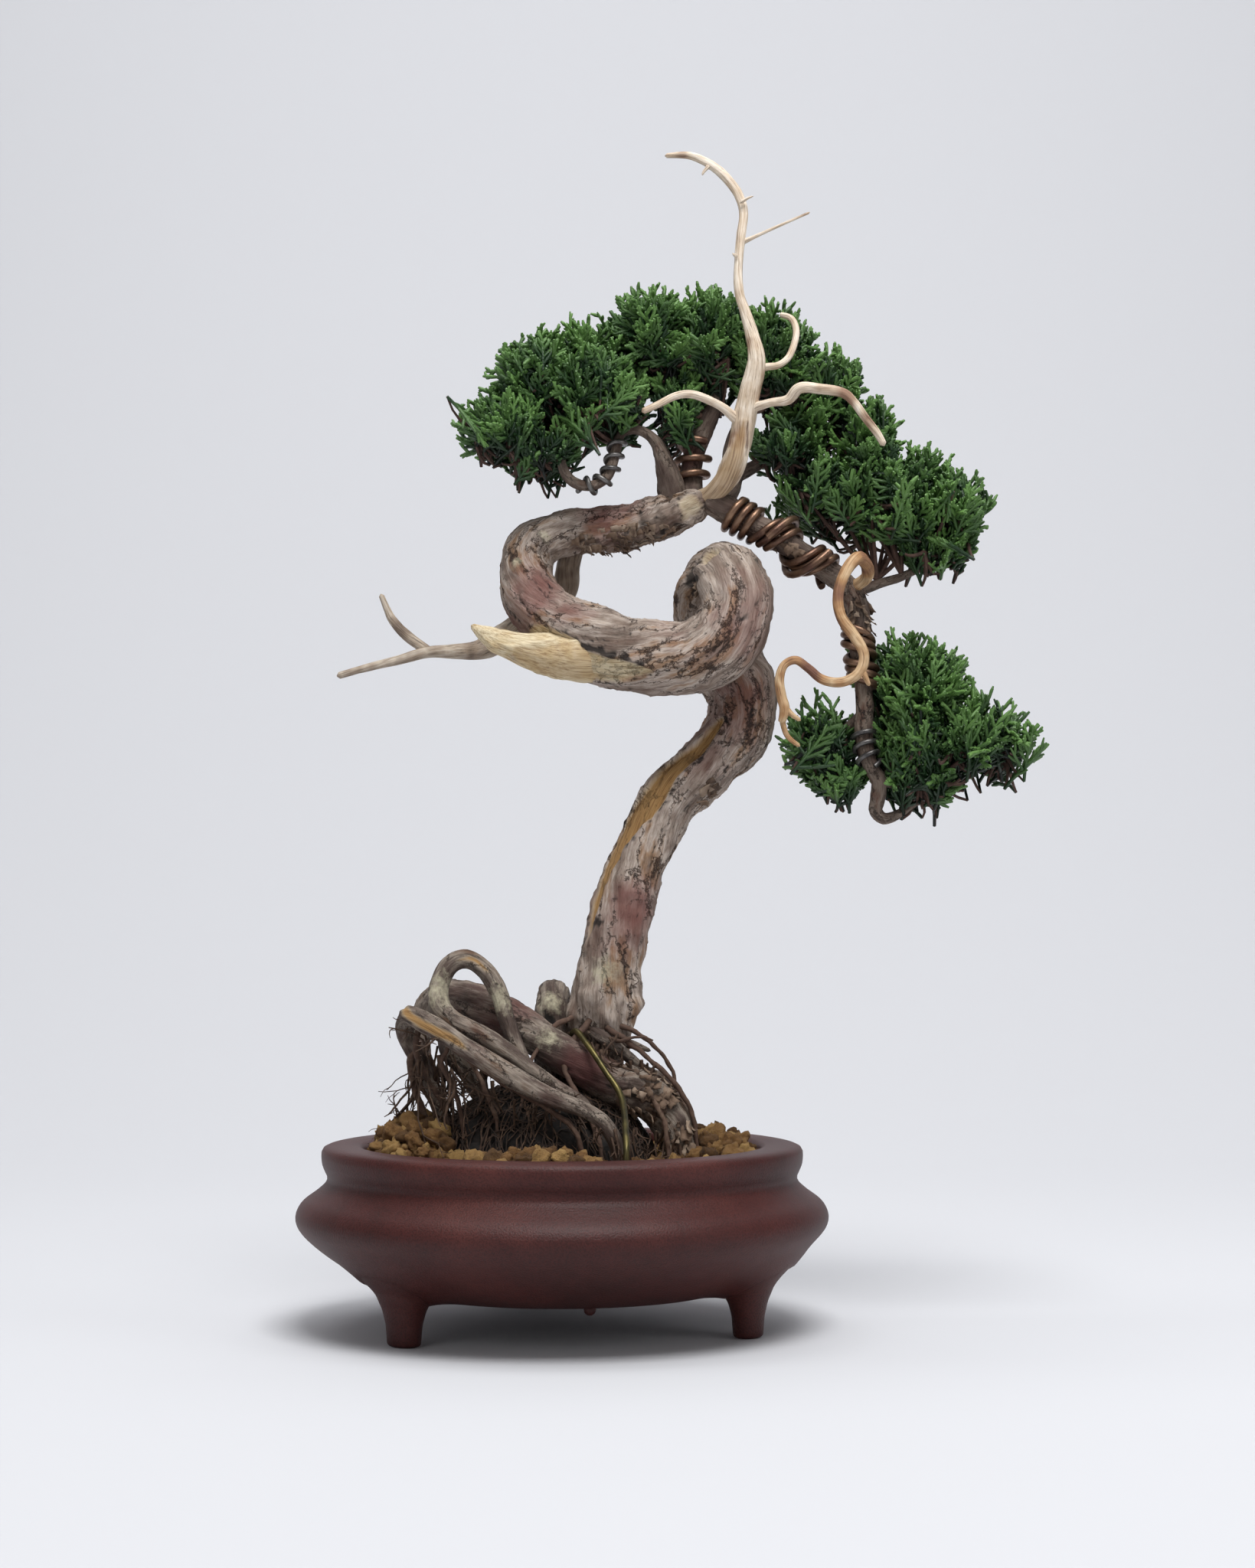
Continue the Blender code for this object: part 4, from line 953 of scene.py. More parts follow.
            # A painted line of shade lies under the bark's lip beside the strip
            fine = fine * (1 - inside) + inside * wood - 0.25 * lip * (away > half_width)
        masks["relief"] = np.clip(fine, 0, 1)
        return height, masks

    def shell(self) -> Shell:
        """The limb and its shoots as one shell."""
        parts = [self.swept(self.route, self.sides, self.carving.seed)]
        for number, shoot in enumerate(self.shoots):
            widest = max(row[3] for row in shoot)
            sides = max(8, min(self.sides, int(6 + 4 * widest)))
            parts.append(self.swept(shoot, sides, self.carving.seed + 20 + number))
        return Shell.joined(parts)


TRUNK_ROUTE = (
    (7, 8, 66, 6.6), (8, 7, 78, 7.4), (12, 2, 96, 10.2), (14, 0, 108, 10.4),
    (18, 0, 128, 10.0), (24, 2, 148, 9.6), (34, 5, 167, 9.6), (46, 8, 179, 10.0),
    (56, 12, 190, 10.6), (59, 16, 202, 11.0), (54.5, 20.5, 213, 11.2), (48.5, 22.5, 223.5, 11.0),
    (47, 18.5, 233.5, 11.0), (49.5, 8, 239.8, 11.3), (53, -3, 240, 11.5), (55, -11, 234.5, 11.6),
    (55, -15, 226.5, 11.6), (49.5, -16.5, 217.5, 11.6), (39.5, -15.5, 213.2, 11.6), (28, -13, 213.5, 12.0),
    (16, -10, 216, 12.1), (5, -6, 221, 11.5), (-5, 0, 229.5, 9.9), (-11, 5, 238, 9.0),
    (-12.5, 9, 247, 8.7), (-8, 11, 254, 8.2), (2, 11, 257.6, 7.5), (13, 9, 258, 7.4),
    (25, 6, 259, 7.2), (35, 3, 262, 6.8), (42, 1, 264.5, 6.0), (47, 0.5, 266, 4.6),
)
SHARI_TONGUE = (
    (16, -9.5, 215, 6.0), (6, -10.8, 213.8, 8.2), (-8, -11.5, 215.5, 5.9),
    (-20.5, -11, 219, 4.2), (-29.3, -10, 224.3, 0.8),
)
ROOT_RAFT = (
    (-33, 2, 52, 2.3), (-37, 1, 63, 2.4), (-41, 2, 74, 2.5), (-44.7, 6, 83.6, 2.8),
    (-46.5, 10, 93, 3.3), (-45, 12, 100.5, 4.0), (-40, 9, 105.5, 4.6), (-33, 2, 105.6, 5.2),
    (-23, -4, 101.5, 6.0), (-13, -8, 96, 6.1), (-3.4, -11, 90, 6.1), (6.4, -12, 84, 6.1),
    (16, -11, 78.5, 6.6), (26, -10, 74.5, 6.9), (32.6, -10, 69.4, 6.9), (36.5, -12, 62, 6.1),
    (37.5, -13, 53, 5.4),
)
ROOT_FRONT = (
    (-35, -8, 52, 2.0), (-38, -9, 64, 2.2), (-40, -9, 74, 2.3), (-43.6, -9, 83, 2.5),
    (-47.6, -11.5, 89.5, 2.8), (-49.3, -16, 95.5, 3.1), (-47.2, -21.5, 99.6, 3.3), (-41.2, -26, 97.6, 3.4),
    (-31.5, -29, 92, 3.2), (-21.8, -32, 86, 3.2), (-12.2, -34, 80.4, 3.2), (-2.7, -35, 75.6, 3.0),
    (6, -36, 72.2, 2.6), (12.5, -37, 68.5, 2.4), (16.5, -37, 63, 2.3), (18, -36, 57, 2.0),
    (18.5, -35, 50, 1.8),
)
ROOT_ARCH = (
    (-7, -19, 64, 1.3), (-8, -20, 74, 1.4), (-10.2, -20, 83, 1.7), (-13.8, -18, 90, 2.4),
    (-17.3, -16, 99, 2.7), (-19.7, -15, 107, 2.9), (-24.2, -14, 114.1, 3.0), (-30.5, -14, 117.7, 3.0),
    (-35.8, -15, 115.5, 3.2), (-38.8, -16, 109, 3.4), (-38.2, -18, 102.8, 3.4), (-33.5, -20, 98, 3.1),
    (-24.7, -22, 94, 2.9), (-16.2, -24, 88.5, 2.6), (-7.7, -26, 82.4, 2.4), (0.7, -27, 77, 2.1),
    (7.8, -26, 72.5, 1.6), (11.5, -23, 64, 1.4),
)
ROOT_KNEE = (
    (-5, 2, 66, 4.2), (-4.4, 1, 80, 4.5), (-4, 0.5, 92, 4.8), (-4, 2.5, 101.5, 5.0),
    (-3.2, 9.5, 106.3, 4.9), (-1.5, 16, 102, 4.5), (0.5, 18.5, 92, 4.0), (1, 17, 80, 3.6),
    (1, 15, 66, 3.4),
)
ROOT_HANGING = (
    (-34.5, 3, 103.5, 2.9), (-37, 2, 95.5, 3.0), (-36.5, 1, 88, 3.2), (-33, 3, 83.4, 3.0),
    (-29.5, 6, 78, 2.6), (-25, 7, 68, 2.2), (-22, 7, 58, 2.0),
)
ROOT_BRACE = (
    (9, -3, 95, 2.6), (12, -8.6, 93.4, 2.4), (17, -8.4, 90, 2.2), (20.8, -5.5, 86.7, 2.0),
    (25.8, -2.6, 82.5, 1.8), (31, -1.6, 80, 1.6), (35, -1, 75.5, 1.5), (37.6, 0, 66, 1.5),
    (38.5, 1, 52, 1.4),
)
ROOT_SPUR = ((14, 1, 92, 2.0), (21.5, -1.5, 90.5, 1.5), (28.2, -6, 88.4, 0.6))
JIN_APEX = (
    (43.0, 2.0, 266.2, 2.6), (47.6, -1.6, 267.4, 3.2), (52.0, -6.4, 271.2, 3.4), (55.5, -10, 277.7, 3.5),
    (57.3, -11, 285, 3.5),
    (58.5, -12, 292.2, 3.6), (60.1, -13, 299.5, 3.3), (61.8, -14, 306.7, 2.9), (61.8, -14, 312, 2.6),
    (60.5, -13, 318, 2.2), (58.5, -12, 325, 1.8), (56.8, -11, 331, 1.6), (56.4, -10, 338, 1.5),
    (57.2, -8.5, 349, 1.5), (58.3, -7, 358, 1.5), (57, -6, 364, 1.5), (54.4, -5, 368.5, 1.5),
    (50.5, -4, 373, 1.5), (45.8, -3, 376.4, 1.4), (40.5, -2, 378.6, 1.2), (33, 0, 379, 0.7),
)
JIN_APEX_SHOOTS = (
    (
        (57.5, -11.5, 288.5, 1.8), (51.5, -14, 293.6, 1.4), (45.3, -16, 296.4, 1.3),
        (40.4, -17, 297.5, 1.3), (35.5, -18, 296.5, 1.2), (30.7, -19, 293.9, 1.1), (25.3, -20, 291.3, 1.0),
    ),
    (
        (59, -12.5, 293.5, 1.9), (66.2, -15, 295.1, 1.4), (72, -16, 295.9, 1.7), (75.6, -18, 299.2, 1.8),
        (82, -18, 299, 1.7), (89.2, -18, 297.8, 1.6), (92.8, -18, 294.8, 1.4), (96.4, -18, 289.9, 1.3),
        (100.1, -18, 285, 1.2), (102.5, -18, 280.8, 1.0),
    ),
    (
        (60.8, -13.8, 305.4, 1.5), (65, -13, 307, 1.2), (69, -12, 307.8, 1.1), (72.4, -10, 310.6, 1.1),
        (74.5, -8, 315.3, 1.1), (75.3, -6, 320.2, 1.1), (73.8, -4, 324.6, 1.1), (70.1, -2, 326.3, 1.0),
    ),
    ((57.3, -8, 348.4, 0.9), (62, -8.4, 350.4, 0.6), (68, -9, 353, 0.5), (79.6, -10, 357.9, 0.4)),
    ((57.0, -9, 361, 0.7), (59.6, -9.5, 362.6, 0.45), (61.5, -9.8, 363.2, 0.25)),
    ((47.5, -4, 375, 0.8), (45.6, -4.6, 372.6, 0.5), (45.0, -5, 371.2, 0.3)),
    ((56.2, -11, 343, 0.8), (54.4, -11.6, 344.2, 0.35)),
)
JIN_DRIFTWOOD = (
    (4, 12, 255, 3.4), (1.3, 15, 247.4, 3.8), (0, 18, 239, 4.2), (-5.6, 20, 232.6, 4.5),
    (-14.4, 18, 227, 4.5), (-22.5, 13, 221.5, 4.2), (-28.5, 9.5, 218.2, 3.2), (-36.3, 4, 217.2, 2.2),
    (-43.4, 0, 216.6, 1.8), (-53, -4, 213.7, 1.5), (-62.5, -8, 210.9, 1.3), (-72.1, -10, 208, 1.1),
)
JIN_DRIFTWOOD_SHOOTS = (
    (
        (-43, 0.2, 216.7, 1.6), (-50, 2, 221.6, 1.8), (-55.2, 4, 227, 1.5), (-57.5, 5, 231.3, 1.1),
        (-59.6, 6, 236.2, 0.9),
    ),
)
JIN_SERPENTINE = (
    (94.5, 2, 238, 2.2), (98, -4, 240.5, 2.1), (97.4, -10, 243.6, 2.0), (94.2, -15, 245.4, 2.0),
    (90.3, -18, 241, 1.9), (87.6, -19, 233.5, 1.8), (88.3, -20, 226.1, 1.8), (92.4, -20, 220, 1.8),
    (95.5, -20, 214, 1.7), (94, -20, 208.4, 1.7), (88.7, -20, 205.3, 1.6), (82.6, -20, 206, 1.5),
    (77.8, -20, 209.8, 1.4), (74, -20, 212.2, 1.4), (70.3, -20, 210.6, 1.3), (68.8, -20, 206, 1.5),
    (69.4, -20, 201, 1.6), (70.4, -20, 196.6, 1.6), (69.4, -19, 192.2, 1.1),
)
JIN_SERPENTINE_SHOOTS = (
    ((70.3, -20, 197.5, 1.2), (72.6, -20, 195, 0.9), (75.5, -20, 193, 0.6)),
    ((69.6, -19, 194, 1.0), (71.3, -18, 188.5, 0.9), (75.4, -18, 185, 0.6)),
    ((95, -20, 209, 1.2), (97.3, -20, 204, 0.6)),
)
BRANCH_CASCADE = (
    (46, 0, 266.2, 4.0), (54, -2, 262, 4.3), (61.7, -3, 257.5, 4.0), (69.1, -3, 253.5, 3.9),
    (76.6, -2, 248.7, 3.8), (84.1, 0, 243.9, 3.8), (90.5, 2, 239.7, 3.8), (94.6, 3, 233.6, 3.6),
    (95.7, 2, 226, 3.3), (95.4, 0, 218.3, 3.1), (97, 0, 209.6, 3.0), (97.5, 0, 199.7, 2.9),
    (97, -2, 189.7, 2.8), (98.4, -4, 181, 2.7), (101.6, -3, 174.7, 2.6), (101.4, -1, 169, 2.5),
    (101, 0, 165.2, 2.3), (104, 0, 162.8, 1.9), (109.8, 0, 165.2, 1.4), (116, 0, 170, 1.0),
)
BRANCH_LEFT = (
    (36.5, 3, 263, 4.2), (35, 3, 271.5, 4.2), (32.9, 3, 279, 3.2), (29.6, 3, 286, 2.1),
    (24.2, 2, 289.4, 1.7), (18.6, 0.5, 287.5, 1.6), (16.7, -2, 280.3, 1.6), (14.4, -4, 273.4, 1.6),
    (9.4, -5, 270, 1.6), (3.4, -5, 271.3, 1.6), (-0.1, -5, 276, 1.5), (-0.8, -4, 284, 1.3),
    (-3, -2, 293, 1.2),
)
BRANCH_APEX = (
    (42, 2, 264.5, 3.8), (41.6, 7, 270, 4.0), (41.7, 9, 277, 3.8), (43, 9.5, 284.5, 3.7),
    (45.6, 10, 291, 3.4), (48.6, 11, 298, 3.0), (50, 12, 308, 2.4),
)
BRANCH_BACK = (
    (47, 2, 265.8, 3.2), (53, 8.5, 269, 3.6), (55, 13.5, 276, 3.6), (55.5, 16, 284, 3.4),
    (58.5, 17, 293, 3.0), (62, 16, 302, 2.4),
)
BRANCH_BACK_RIGHT = (
    (54.5, 12.5, 274.5, 2.4), (62, 14, 279, 2.1), (69, 15.5, 282.4, 1.7), (78, 16.5, 285.5, 1.5),
    (86, 17, 290, 1.4), (90, 16, 297, 1.2),
)
TWIG_RIGHT_PAD = (
    (93, 3.5, 236, 2.0), (102, 6, 239.2, 1.7), (110.8, 6.5, 242.2, 1.5), (120.8, 6.5, 247.4, 1.3),
    (128, 6, 252.5, 1.1), (132, 6, 259, 1.0),
)
TWIG_CASCADE_UPPER = ((97.2, 0, 205, 1.8), (103.5, 2, 206.5, 1.6), (110, 3, 207.5, 1.4), (117, 3, 211, 1.1))
TWIG_CASCADE_TIP = (
    (101, -3.4, 175.5, 1.8), (108, -3.2, 173.4, 1.6), (115, -3, 174.4, 1.5), (124.2, -3, 178.6, 1.3),
    (131, -2, 184, 1.1),
)
TWIG_CASCADE_LEFT = ((97.4, -0.4, 197.5, 1.8), (92, 3, 192.5, 1.6), (86, 5.5, 189, 1.4),
    (79, 7, 187.5, 1.1))


@dataclass(frozen=True)
class LivingWood:
    """The trunk, its branches and the bare roots, with the bark on them."""

    bark: JuniperBark = JuniperBark("juniper_bark")
    root_bark: JuniperBark = JuniperBark("root_bark", brown="#35251f", grey="#5f5048", pale="#9d9286",
        tan="#6a503d", red="#58302d", plate_mm=5.0)
    young_bark: JuniperBark = JuniperBark("young_bark", brown="#412e27", grey="#64544b", pale="#887a6e",
        tan="#684d40", red="#5f3832", plate_mm=4.0)
    flake_bark: Crumbly = Crumbly("loose_bark_flakes")
    chip_kinds: int = 5
    chip_thickness: float = 0.1

    def trunk(self) -> Limb:
        """The trunk, from the root ball round its coil to the crown."""
        spots = spots_of(
            (Mark.SCAR, (47, -10.6, 246, 5.2, 1.4), (40.6, -5.2, 263.4, 5.4, 1)),
            (Mark.RINGS, (29, -1.5, 260.5, 11, 0.7)),
            (Mark.LICHEN, (-14.7, -0.8, 244.8, 3.2, 1.2), (-6.5, 3.1, 254.8, 3, 0.8),
                (13.6, -10.3, 113.5, 6.5, 0.6)),
            (Mark.NUB, (-14.7, 0.4, 244.8, 3.2, 1.8), (-6.5, 3.4, 254.8, 3.4, 1.6),
                (22.4, -4.4, 103.6, 5, 2.8), (23.4, -4.8, 110.5, 3.5, 1.8), (8.7, -8.4, 106.6, 5.5, 2.6),
                (14, -9, 99, 5, 2.4), (4, -2, 100, 5, 2.4), (19, -6, 93, 5, 2.2)),
            (Mark.ROUGH, (8, -5, 88, 9, 1.4)),
            (Mark.HOLLOW, (41.5, -4.5, 236.5, 6, 2.6), (41, -3, 242, 4.6, 2), (44.5, -9, 231.5, 3.6, 1.6),
                (1, -16.3, 219.2, 2.2, 0.8), (5, -17.3, 217.4, 2.4, 0.9), (8.5, -18.6, 216.2, 2.4, 0.9),
                (12.3, -20.6, 215, 2.4, 0.9), (16, -22, 213.9, 2.2, 0.9), (20, -23, 212.7, 2, 0.8),
                (25, -23.4, 211, 1.8, 0.6)),
            (Mark.ROUGH, (10, 4, 252, 8, 1.2), (20, 2, 253, 8, 1.2), (30, -1, 255, 7, 1.2),
                (46, 3, 172, 6, 0.8), (34, 3, 157, 4, 0.6)),
            # The wide spot at (58, 5, 199) is painted shadow where the trunk runs under its loop; the others
            # are red under-bark
            (Mark.RED, (-8.6, -6.5, 236.2, 15), (2.6, -14.3, 227.9, 9), (55, -26, 222, 15),
                (24, -8, 134, 14), (58, 5, 199, 19), (16, 1, 260, 13)),
            (Mark.ROUGH, (41, -5, 238.5, 6, 1)),
        )
        stripes = (
            Stripe(
                (
                    (50.5, 3.6, 194.8, 1.4), (44.0, -0.4, 185.6, 2.6), (35.5, -0.6, 177.6, 3.6),
                    (28.2, -2.6, 168.0, 4.2), (21.0, -2.4, 158.0, 4.0), (15.4, -2.4, 147.0, 3.2),
                    (12.0, -3.4, 134.0, 2.4), (9.2, -4.0, 122.0, 1.7), (7.0, -4.0, 113.0, 0.4),
                ),
                0.7,
            ),
            Stripe(
                (
                    (30.0, -24.1, 208.4, 0.3), (20.0, -22.2, 209.0, 2.9), (12.3, -19.5, 209.2, 4.9),
                    (5.0, -18.5, 210.0, 6.4), (-2.0, -16.5, 213.4, 8.2), (-9.8, -12.0, 215.6, 9.0),
                ),
                0.9, 0.1,
            ),
            Stripe(((-2.5, -3.0, 221.0, 1.6), (-4.5, 1.0, 233.0, 2.0), (-4.0, 3.0, 240.0, 0.6)), 0.4, 0.9),
        )
        carving = Carving(swell=0.9, flute=1.2, ridge=0.3, ridge_width=2.2, ridge_length=30, plate=0.5,
            crack=0.5, twist=0.3, seed=3)
        return Limb("trunk", TRUNK_ROUTE, carving, spots=spots, stripes=stripes, sides=104, step=0.85)

    def roots(self) -> list[Limb]:
        """The bare roots that lie over the soil."""
        gnarled = Carving(swell=0.7, ridge=0.4, ridge_width=2.4, plate=0.35, crack=0.45, twist=0.5, seed=41)
        smooth = Carving(swell=0.5, ridge=0.3, ridge_width=1.8, ridge_length=26, plate=0.2, crack=0.3,
            seed=51)
        return [
            Limb(
                "root_raft", ROOT_RAFT, gnarled, sides=56, step=0.8,
                spots=spots_of(
                    (Mark.RED, (-20, -9, 101, 16), (8, -17, 85, 13)),
                    (Mark.ROUGH, (27, -15, 76, 11, 1.1), (37, -15, 62, 9, 1)),
                    (Mark.LICHEN, (-4, -16, 93, 5)), (Mark.NUB, (24, -12, 79, 7, 1.2)),
                ),
            ),
            Limb(
                "root_front", ROOT_FRONT, smooth, sides=36, step=0.8,
                stripes=(
                    Stripe(
                        (
                            (-49, -20.5, 101.5, 1.0), (-48, -24, 101.2, 1.5), (-41.2, -29, 97, 1.7),
                            (-33, -31.6, 92.8, 1.3), (-28, -33, 89.5, 0.4),
                        ),
                        0.3,
                    ),
                ),
            ),
            Limb(
                "root_arch", ROOT_ARCH, smooth, sides=34, step=0.8,
                spots=spots_of((Mark.LICHEN, (-38, -19, 108, 8), (-20, -18, 105, 7))),
                stripes=(
                    Stripe(((-33, -17.4, 117, 0.3), (-28, -17.2, 118, 0.9), (-22.5, -16.6, 113, 0.4)), 0.3),
                ),
            ),
            Limb(
                "root_knee", ROOT_KNEE, gnarled, sides=44, step=0.8,
                spots=spots_of((Mark.LICHEN, (-4, -1, 104, 6, 0.5)), (Mark.HOLLOW, (-4, -4, 98, 2.5, 0.8))),
            ),
            Limb("root_hanging", ROOT_HANGING, smooth, sides=26),
            Limb("root_brace", ROOT_BRACE, gnarled, sides=22),
            Limb("root_spur", ROOT_SPUR, smooth, sides=16),
        ]

    def branches(self) -> list[Limb]:
        """The living branches and the twigs that carry the foliage."""
        young = Carving(swell=0.45, ridge=0.35, ridge_width=1.6, ridge_length=12, plate=0.35, crack=0.4,
            seed=61)
        return [
            Limb(
                "branch_cascade", BRANCH_CASCADE, young, sides=40, step=0.7,
                spots=spots_of((Mark.ROUGH, (72, -6, 254, 8, 0.8), (96, 0, 228, 9, 0.9))),
            ),
            Limb("branch_left", BRANCH_LEFT, young, sides=28, step=0.7),
            Limb(
                "branch_apex", BRANCH_APEX, young, sides=36, step=0.7,
                spots=spots_of((Mark.RED, (41, 5, 281, 7))),
            ),
            Limb("branch_back", BRANCH_BACK, young, sides=32, step=0.7),
            Limb("branch_back_right", BRANCH_BACK_RIGHT, young, sides=18),
            Limb("twig_right_pad", TWIG_RIGHT_PAD, young, sides=18),
            Limb("twig_cascade_upper", TWIG_CASCADE_UPPER, young, sides=16),
            Limb("twig_cascade_tip", TWIG_CASCADE_TIP, young, sides=16),
            Limb("twig_cascade_left", TWIG_CASCADE_LEFT, young, sides=16),
        ]

    def flake_shapes(self) -> Collection:
        """Curled chips of bark, a few millimetres long, that the scatter picks from."""
        kept = bpy.data.collections.new("bark_chips")
        rng = np.random.default_rng(5)
        for number in range(self.chip_kinds):
            width = 0.45 + 0.2 * rng.random()
            places = []
            for a in np.linspace(-0.5, 0.5, 5):
                for c in np.linspace(-0.5, 0.5, 3):
                    ragged = 1 + 0.35 * rng.normal() * (abs(c) > 0.4)
                    lift = 0.9 * max(0.0, a + 0.15) ** 2 + 0.25 * c * c
                    places.append((a + 0.08 * rng.normal(), c * width * ragged, lift))
            corners = [3 * i + j for i in range(4) for j in range(2)]
            faces = [(corner, corner + 3, corner + 4, corner + 1) for corner in corners]
            under = [(x, y, z - self.chip_thickness) for x, y, z in places]
            count = len(places)
            back = [tuple(corner + count for corner in reversed(face)) for face in faces]
            rim = [0, 3, 6, 9, 12, 13, 14, 11, 8, 5, 2, 1]
            walls = [(b, a, a + count, b + count) for a, b in zip(rim, rim[1:] + rim[:1])]
            mesh = bpy.data.meshes.new(f"bark_chip_{number}")
            mesh.from_pydata([tuple(c * MM for c in place) for place in places + under], [],
                faces + back + walls)
            mesh.shade_smooth()
            kept.objects.link(bpy.data.objects.new(f"bark_chip_{number}", mesh))
        return kept

    def build(self, scatter: NodeTree) -> None:
        """Builds every limb, and the loose flakes on the rough ones."""
        bark, root_bark, young = self.bark.made(), self.root_bark.made(), self.young_bark.made()
        flakes = self.flake_bark.made()
        chips = self.flake_shapes()
        groups = (([self.trunk()], bark, Slot.BARK), (self.roots(), root_bark, Slot.ROOT_BARK),
            (self.branches(), young, Slot.BARK))
        for limbs, material, slot in groups:
            for limb in limbs:
                shell = limb.shell()
                if any(spot.kind is Mark.ROUGH for spot in limb.spots):
                    base = shell.to_object(f"{limb.name}_rough")
                    values = {"Shapes": chips, "Spacing": 1.7 * MM, "Smallest": 1.8, "Largest": 4.8,
                        "Tumble": 0.12, "Raise": 0.1 * MM, "Seed": limb.carving.seed, "Material": flakes}
                    ride(grown(f"{limb.name}_flakes", base, scatter, values), slot)
                ride(shell.to_object(limb.name, material), slot, limb.name)


@dataclass(frozen=True)
class Deadwood:
    """The three stripped and bleached dead branches, and the tongue of bare wood torn from the trunk."""

    bleached: Heartwood = Heartwood("bleached_deadwood", "#5f3c30", "#a1816c", "#dccab4", "#efe3d3")
    tan: Heartwood = Heartwood("tan_deadwood", "#4a2c1c", "#7b5444", "#b98f64", "#dcc09a")
    grey: Heartwood = Heartwood("grey_driftwood", "#3a2d27", "#66564b", "#958677", "#bfb3a4")
    cream: Heartwood = Heartwood("fresh_torn_wood", "#84603a", "#bfb09a", "#d5c19a", "#e4d7b8")

    def limbs(self) -> list[tuple[Limb, Heartwood, Slot, tuple[str, ...]]]:
        """Each dead limb with its finish, slot and CAD nodes."""
        weathered = Carving(swell=0.35, ridge=0.4, ridge_width=1.5, ridge_length=34, crack=0.3, plate=0.0,
            twist=0.4, seed=81)
        return [
            (
                Limb(
                    "jin_apex", JIN_APEX, weathered, shoots=JIN_APEX_SHOOTS, sides=32, step=0.7,
                    stripes=(
                        Stripe(
                            (
                                (45, -4, 265, 6.0), (51, -9, 270, 5.0), (55, -13, 277, 3.0),
                                (57, -14.5, 284, 1.6), (58, -15.5, 290, 0.3),
                            ),
                            0.0, 0.6,
                        ),
                    ),
                ),
                self.bleached, Slot.BLEACHED, ("jin_apex",),
            ),
            (
                Limb("jin_driftwood", JIN_DRIFTWOOD, weathered, JIN_DRIFTWOOD_SHOOTS, sides=32, step=0.8),
                self.grey, Slot.TAN, ("jin_driftwood",),
            ),
            (
                Limb("jin_serpentine", JIN_SERPENTINE, weathered, JIN_SERPENTINE_SHOOTS, sides=26, step=0.6),
                self.tan, Slot.TAN, ("jin_serpentine",),
            ),
            (
                Limb(
                    "shari_tongue", SHARI_TONGUE,
                    Carving(
                        swell=0.6, ridge=0.5, ridge_width=2.2, ridge_length=34, crack=0.25, plate=0.0, seed=91
                    ),
                    stripes=(
                        Stripe(((14, -20, 212, 7.0), (-2, -18, 212, 6.0), (-14, -15, 215, 2.0)), 0.0, 0.45),
                    ),
                    sides=48, step=0.7,
                ),
                self.cream, Slot.BARK, (),
            ),
        ]

    def build(self) -> None:
        """Builds the dead limbs."""
        for limb, finish, slot, nodes in self.limbs():
            ride(limb.shell().to_object(limb.name, finish.made()), slot, *nodes)


# ---------------------------------------------------------------- wires


@dataclass(frozen=True)
class Coil:
    """A wire wound on a limb; its winding is (distance along the limb, turns so far)."""

    name: str
    host: Points
    winding: Points
    radius: float = 1.25
    layer: int = 0
    strands: int = 1
    strand_gap: float = 2.15
    stand_off: float = 0.15
    layer_height: float = 2.6
    host_step: float = 0.8
    turn_points: int = 22

    def lines(self) -> list[np.ndarray]:
        """Every strand's middle line, side by side along the limb."""
        return [self.line(self.strand_gap * self.radius * number) for number in range(self.strands)]

    def line(self, shift: float) -> np.ndarray:
        """One strand's middle line as rows of x, y, z and radius, moved along the limb by shift."""
        host = smooth_curve(self.host, self.host_step)
        centre = host[:, :3]
        reached = np.concatenate([[0], np.cumsum(np.linalg.norm(np.diff(centre, axis=0), axis=1))])
        _, side, other = frames_along(centre)
        distances, turns = np.array(self.winding, float).T
        distances = distances + shift
        count = int(abs(turns[-1] - turns[0]) * self.turn_points) + 2
        at = np.linspace(distances[0], distances[-1], count)
        angle = math.tau * np.interp(at, distances, turns)
        clear = self.stand_off + self.radius + self.layer * self.layer_height
        reach = np.interp(at, reached, host[:, 3]) + clear
        middle, across, over = (
            np.column_stack([np.interp(at, reached, column) for column in part.T])
            for part in (centre, side, other)
        )
        outward = unit(across) * np.cos(angle)[:, None] + unit(over) * np.sin(angle)[:, None]
        return np.column_stack([middle + reach[:, None] * outward, np.full(count, self.radius)])


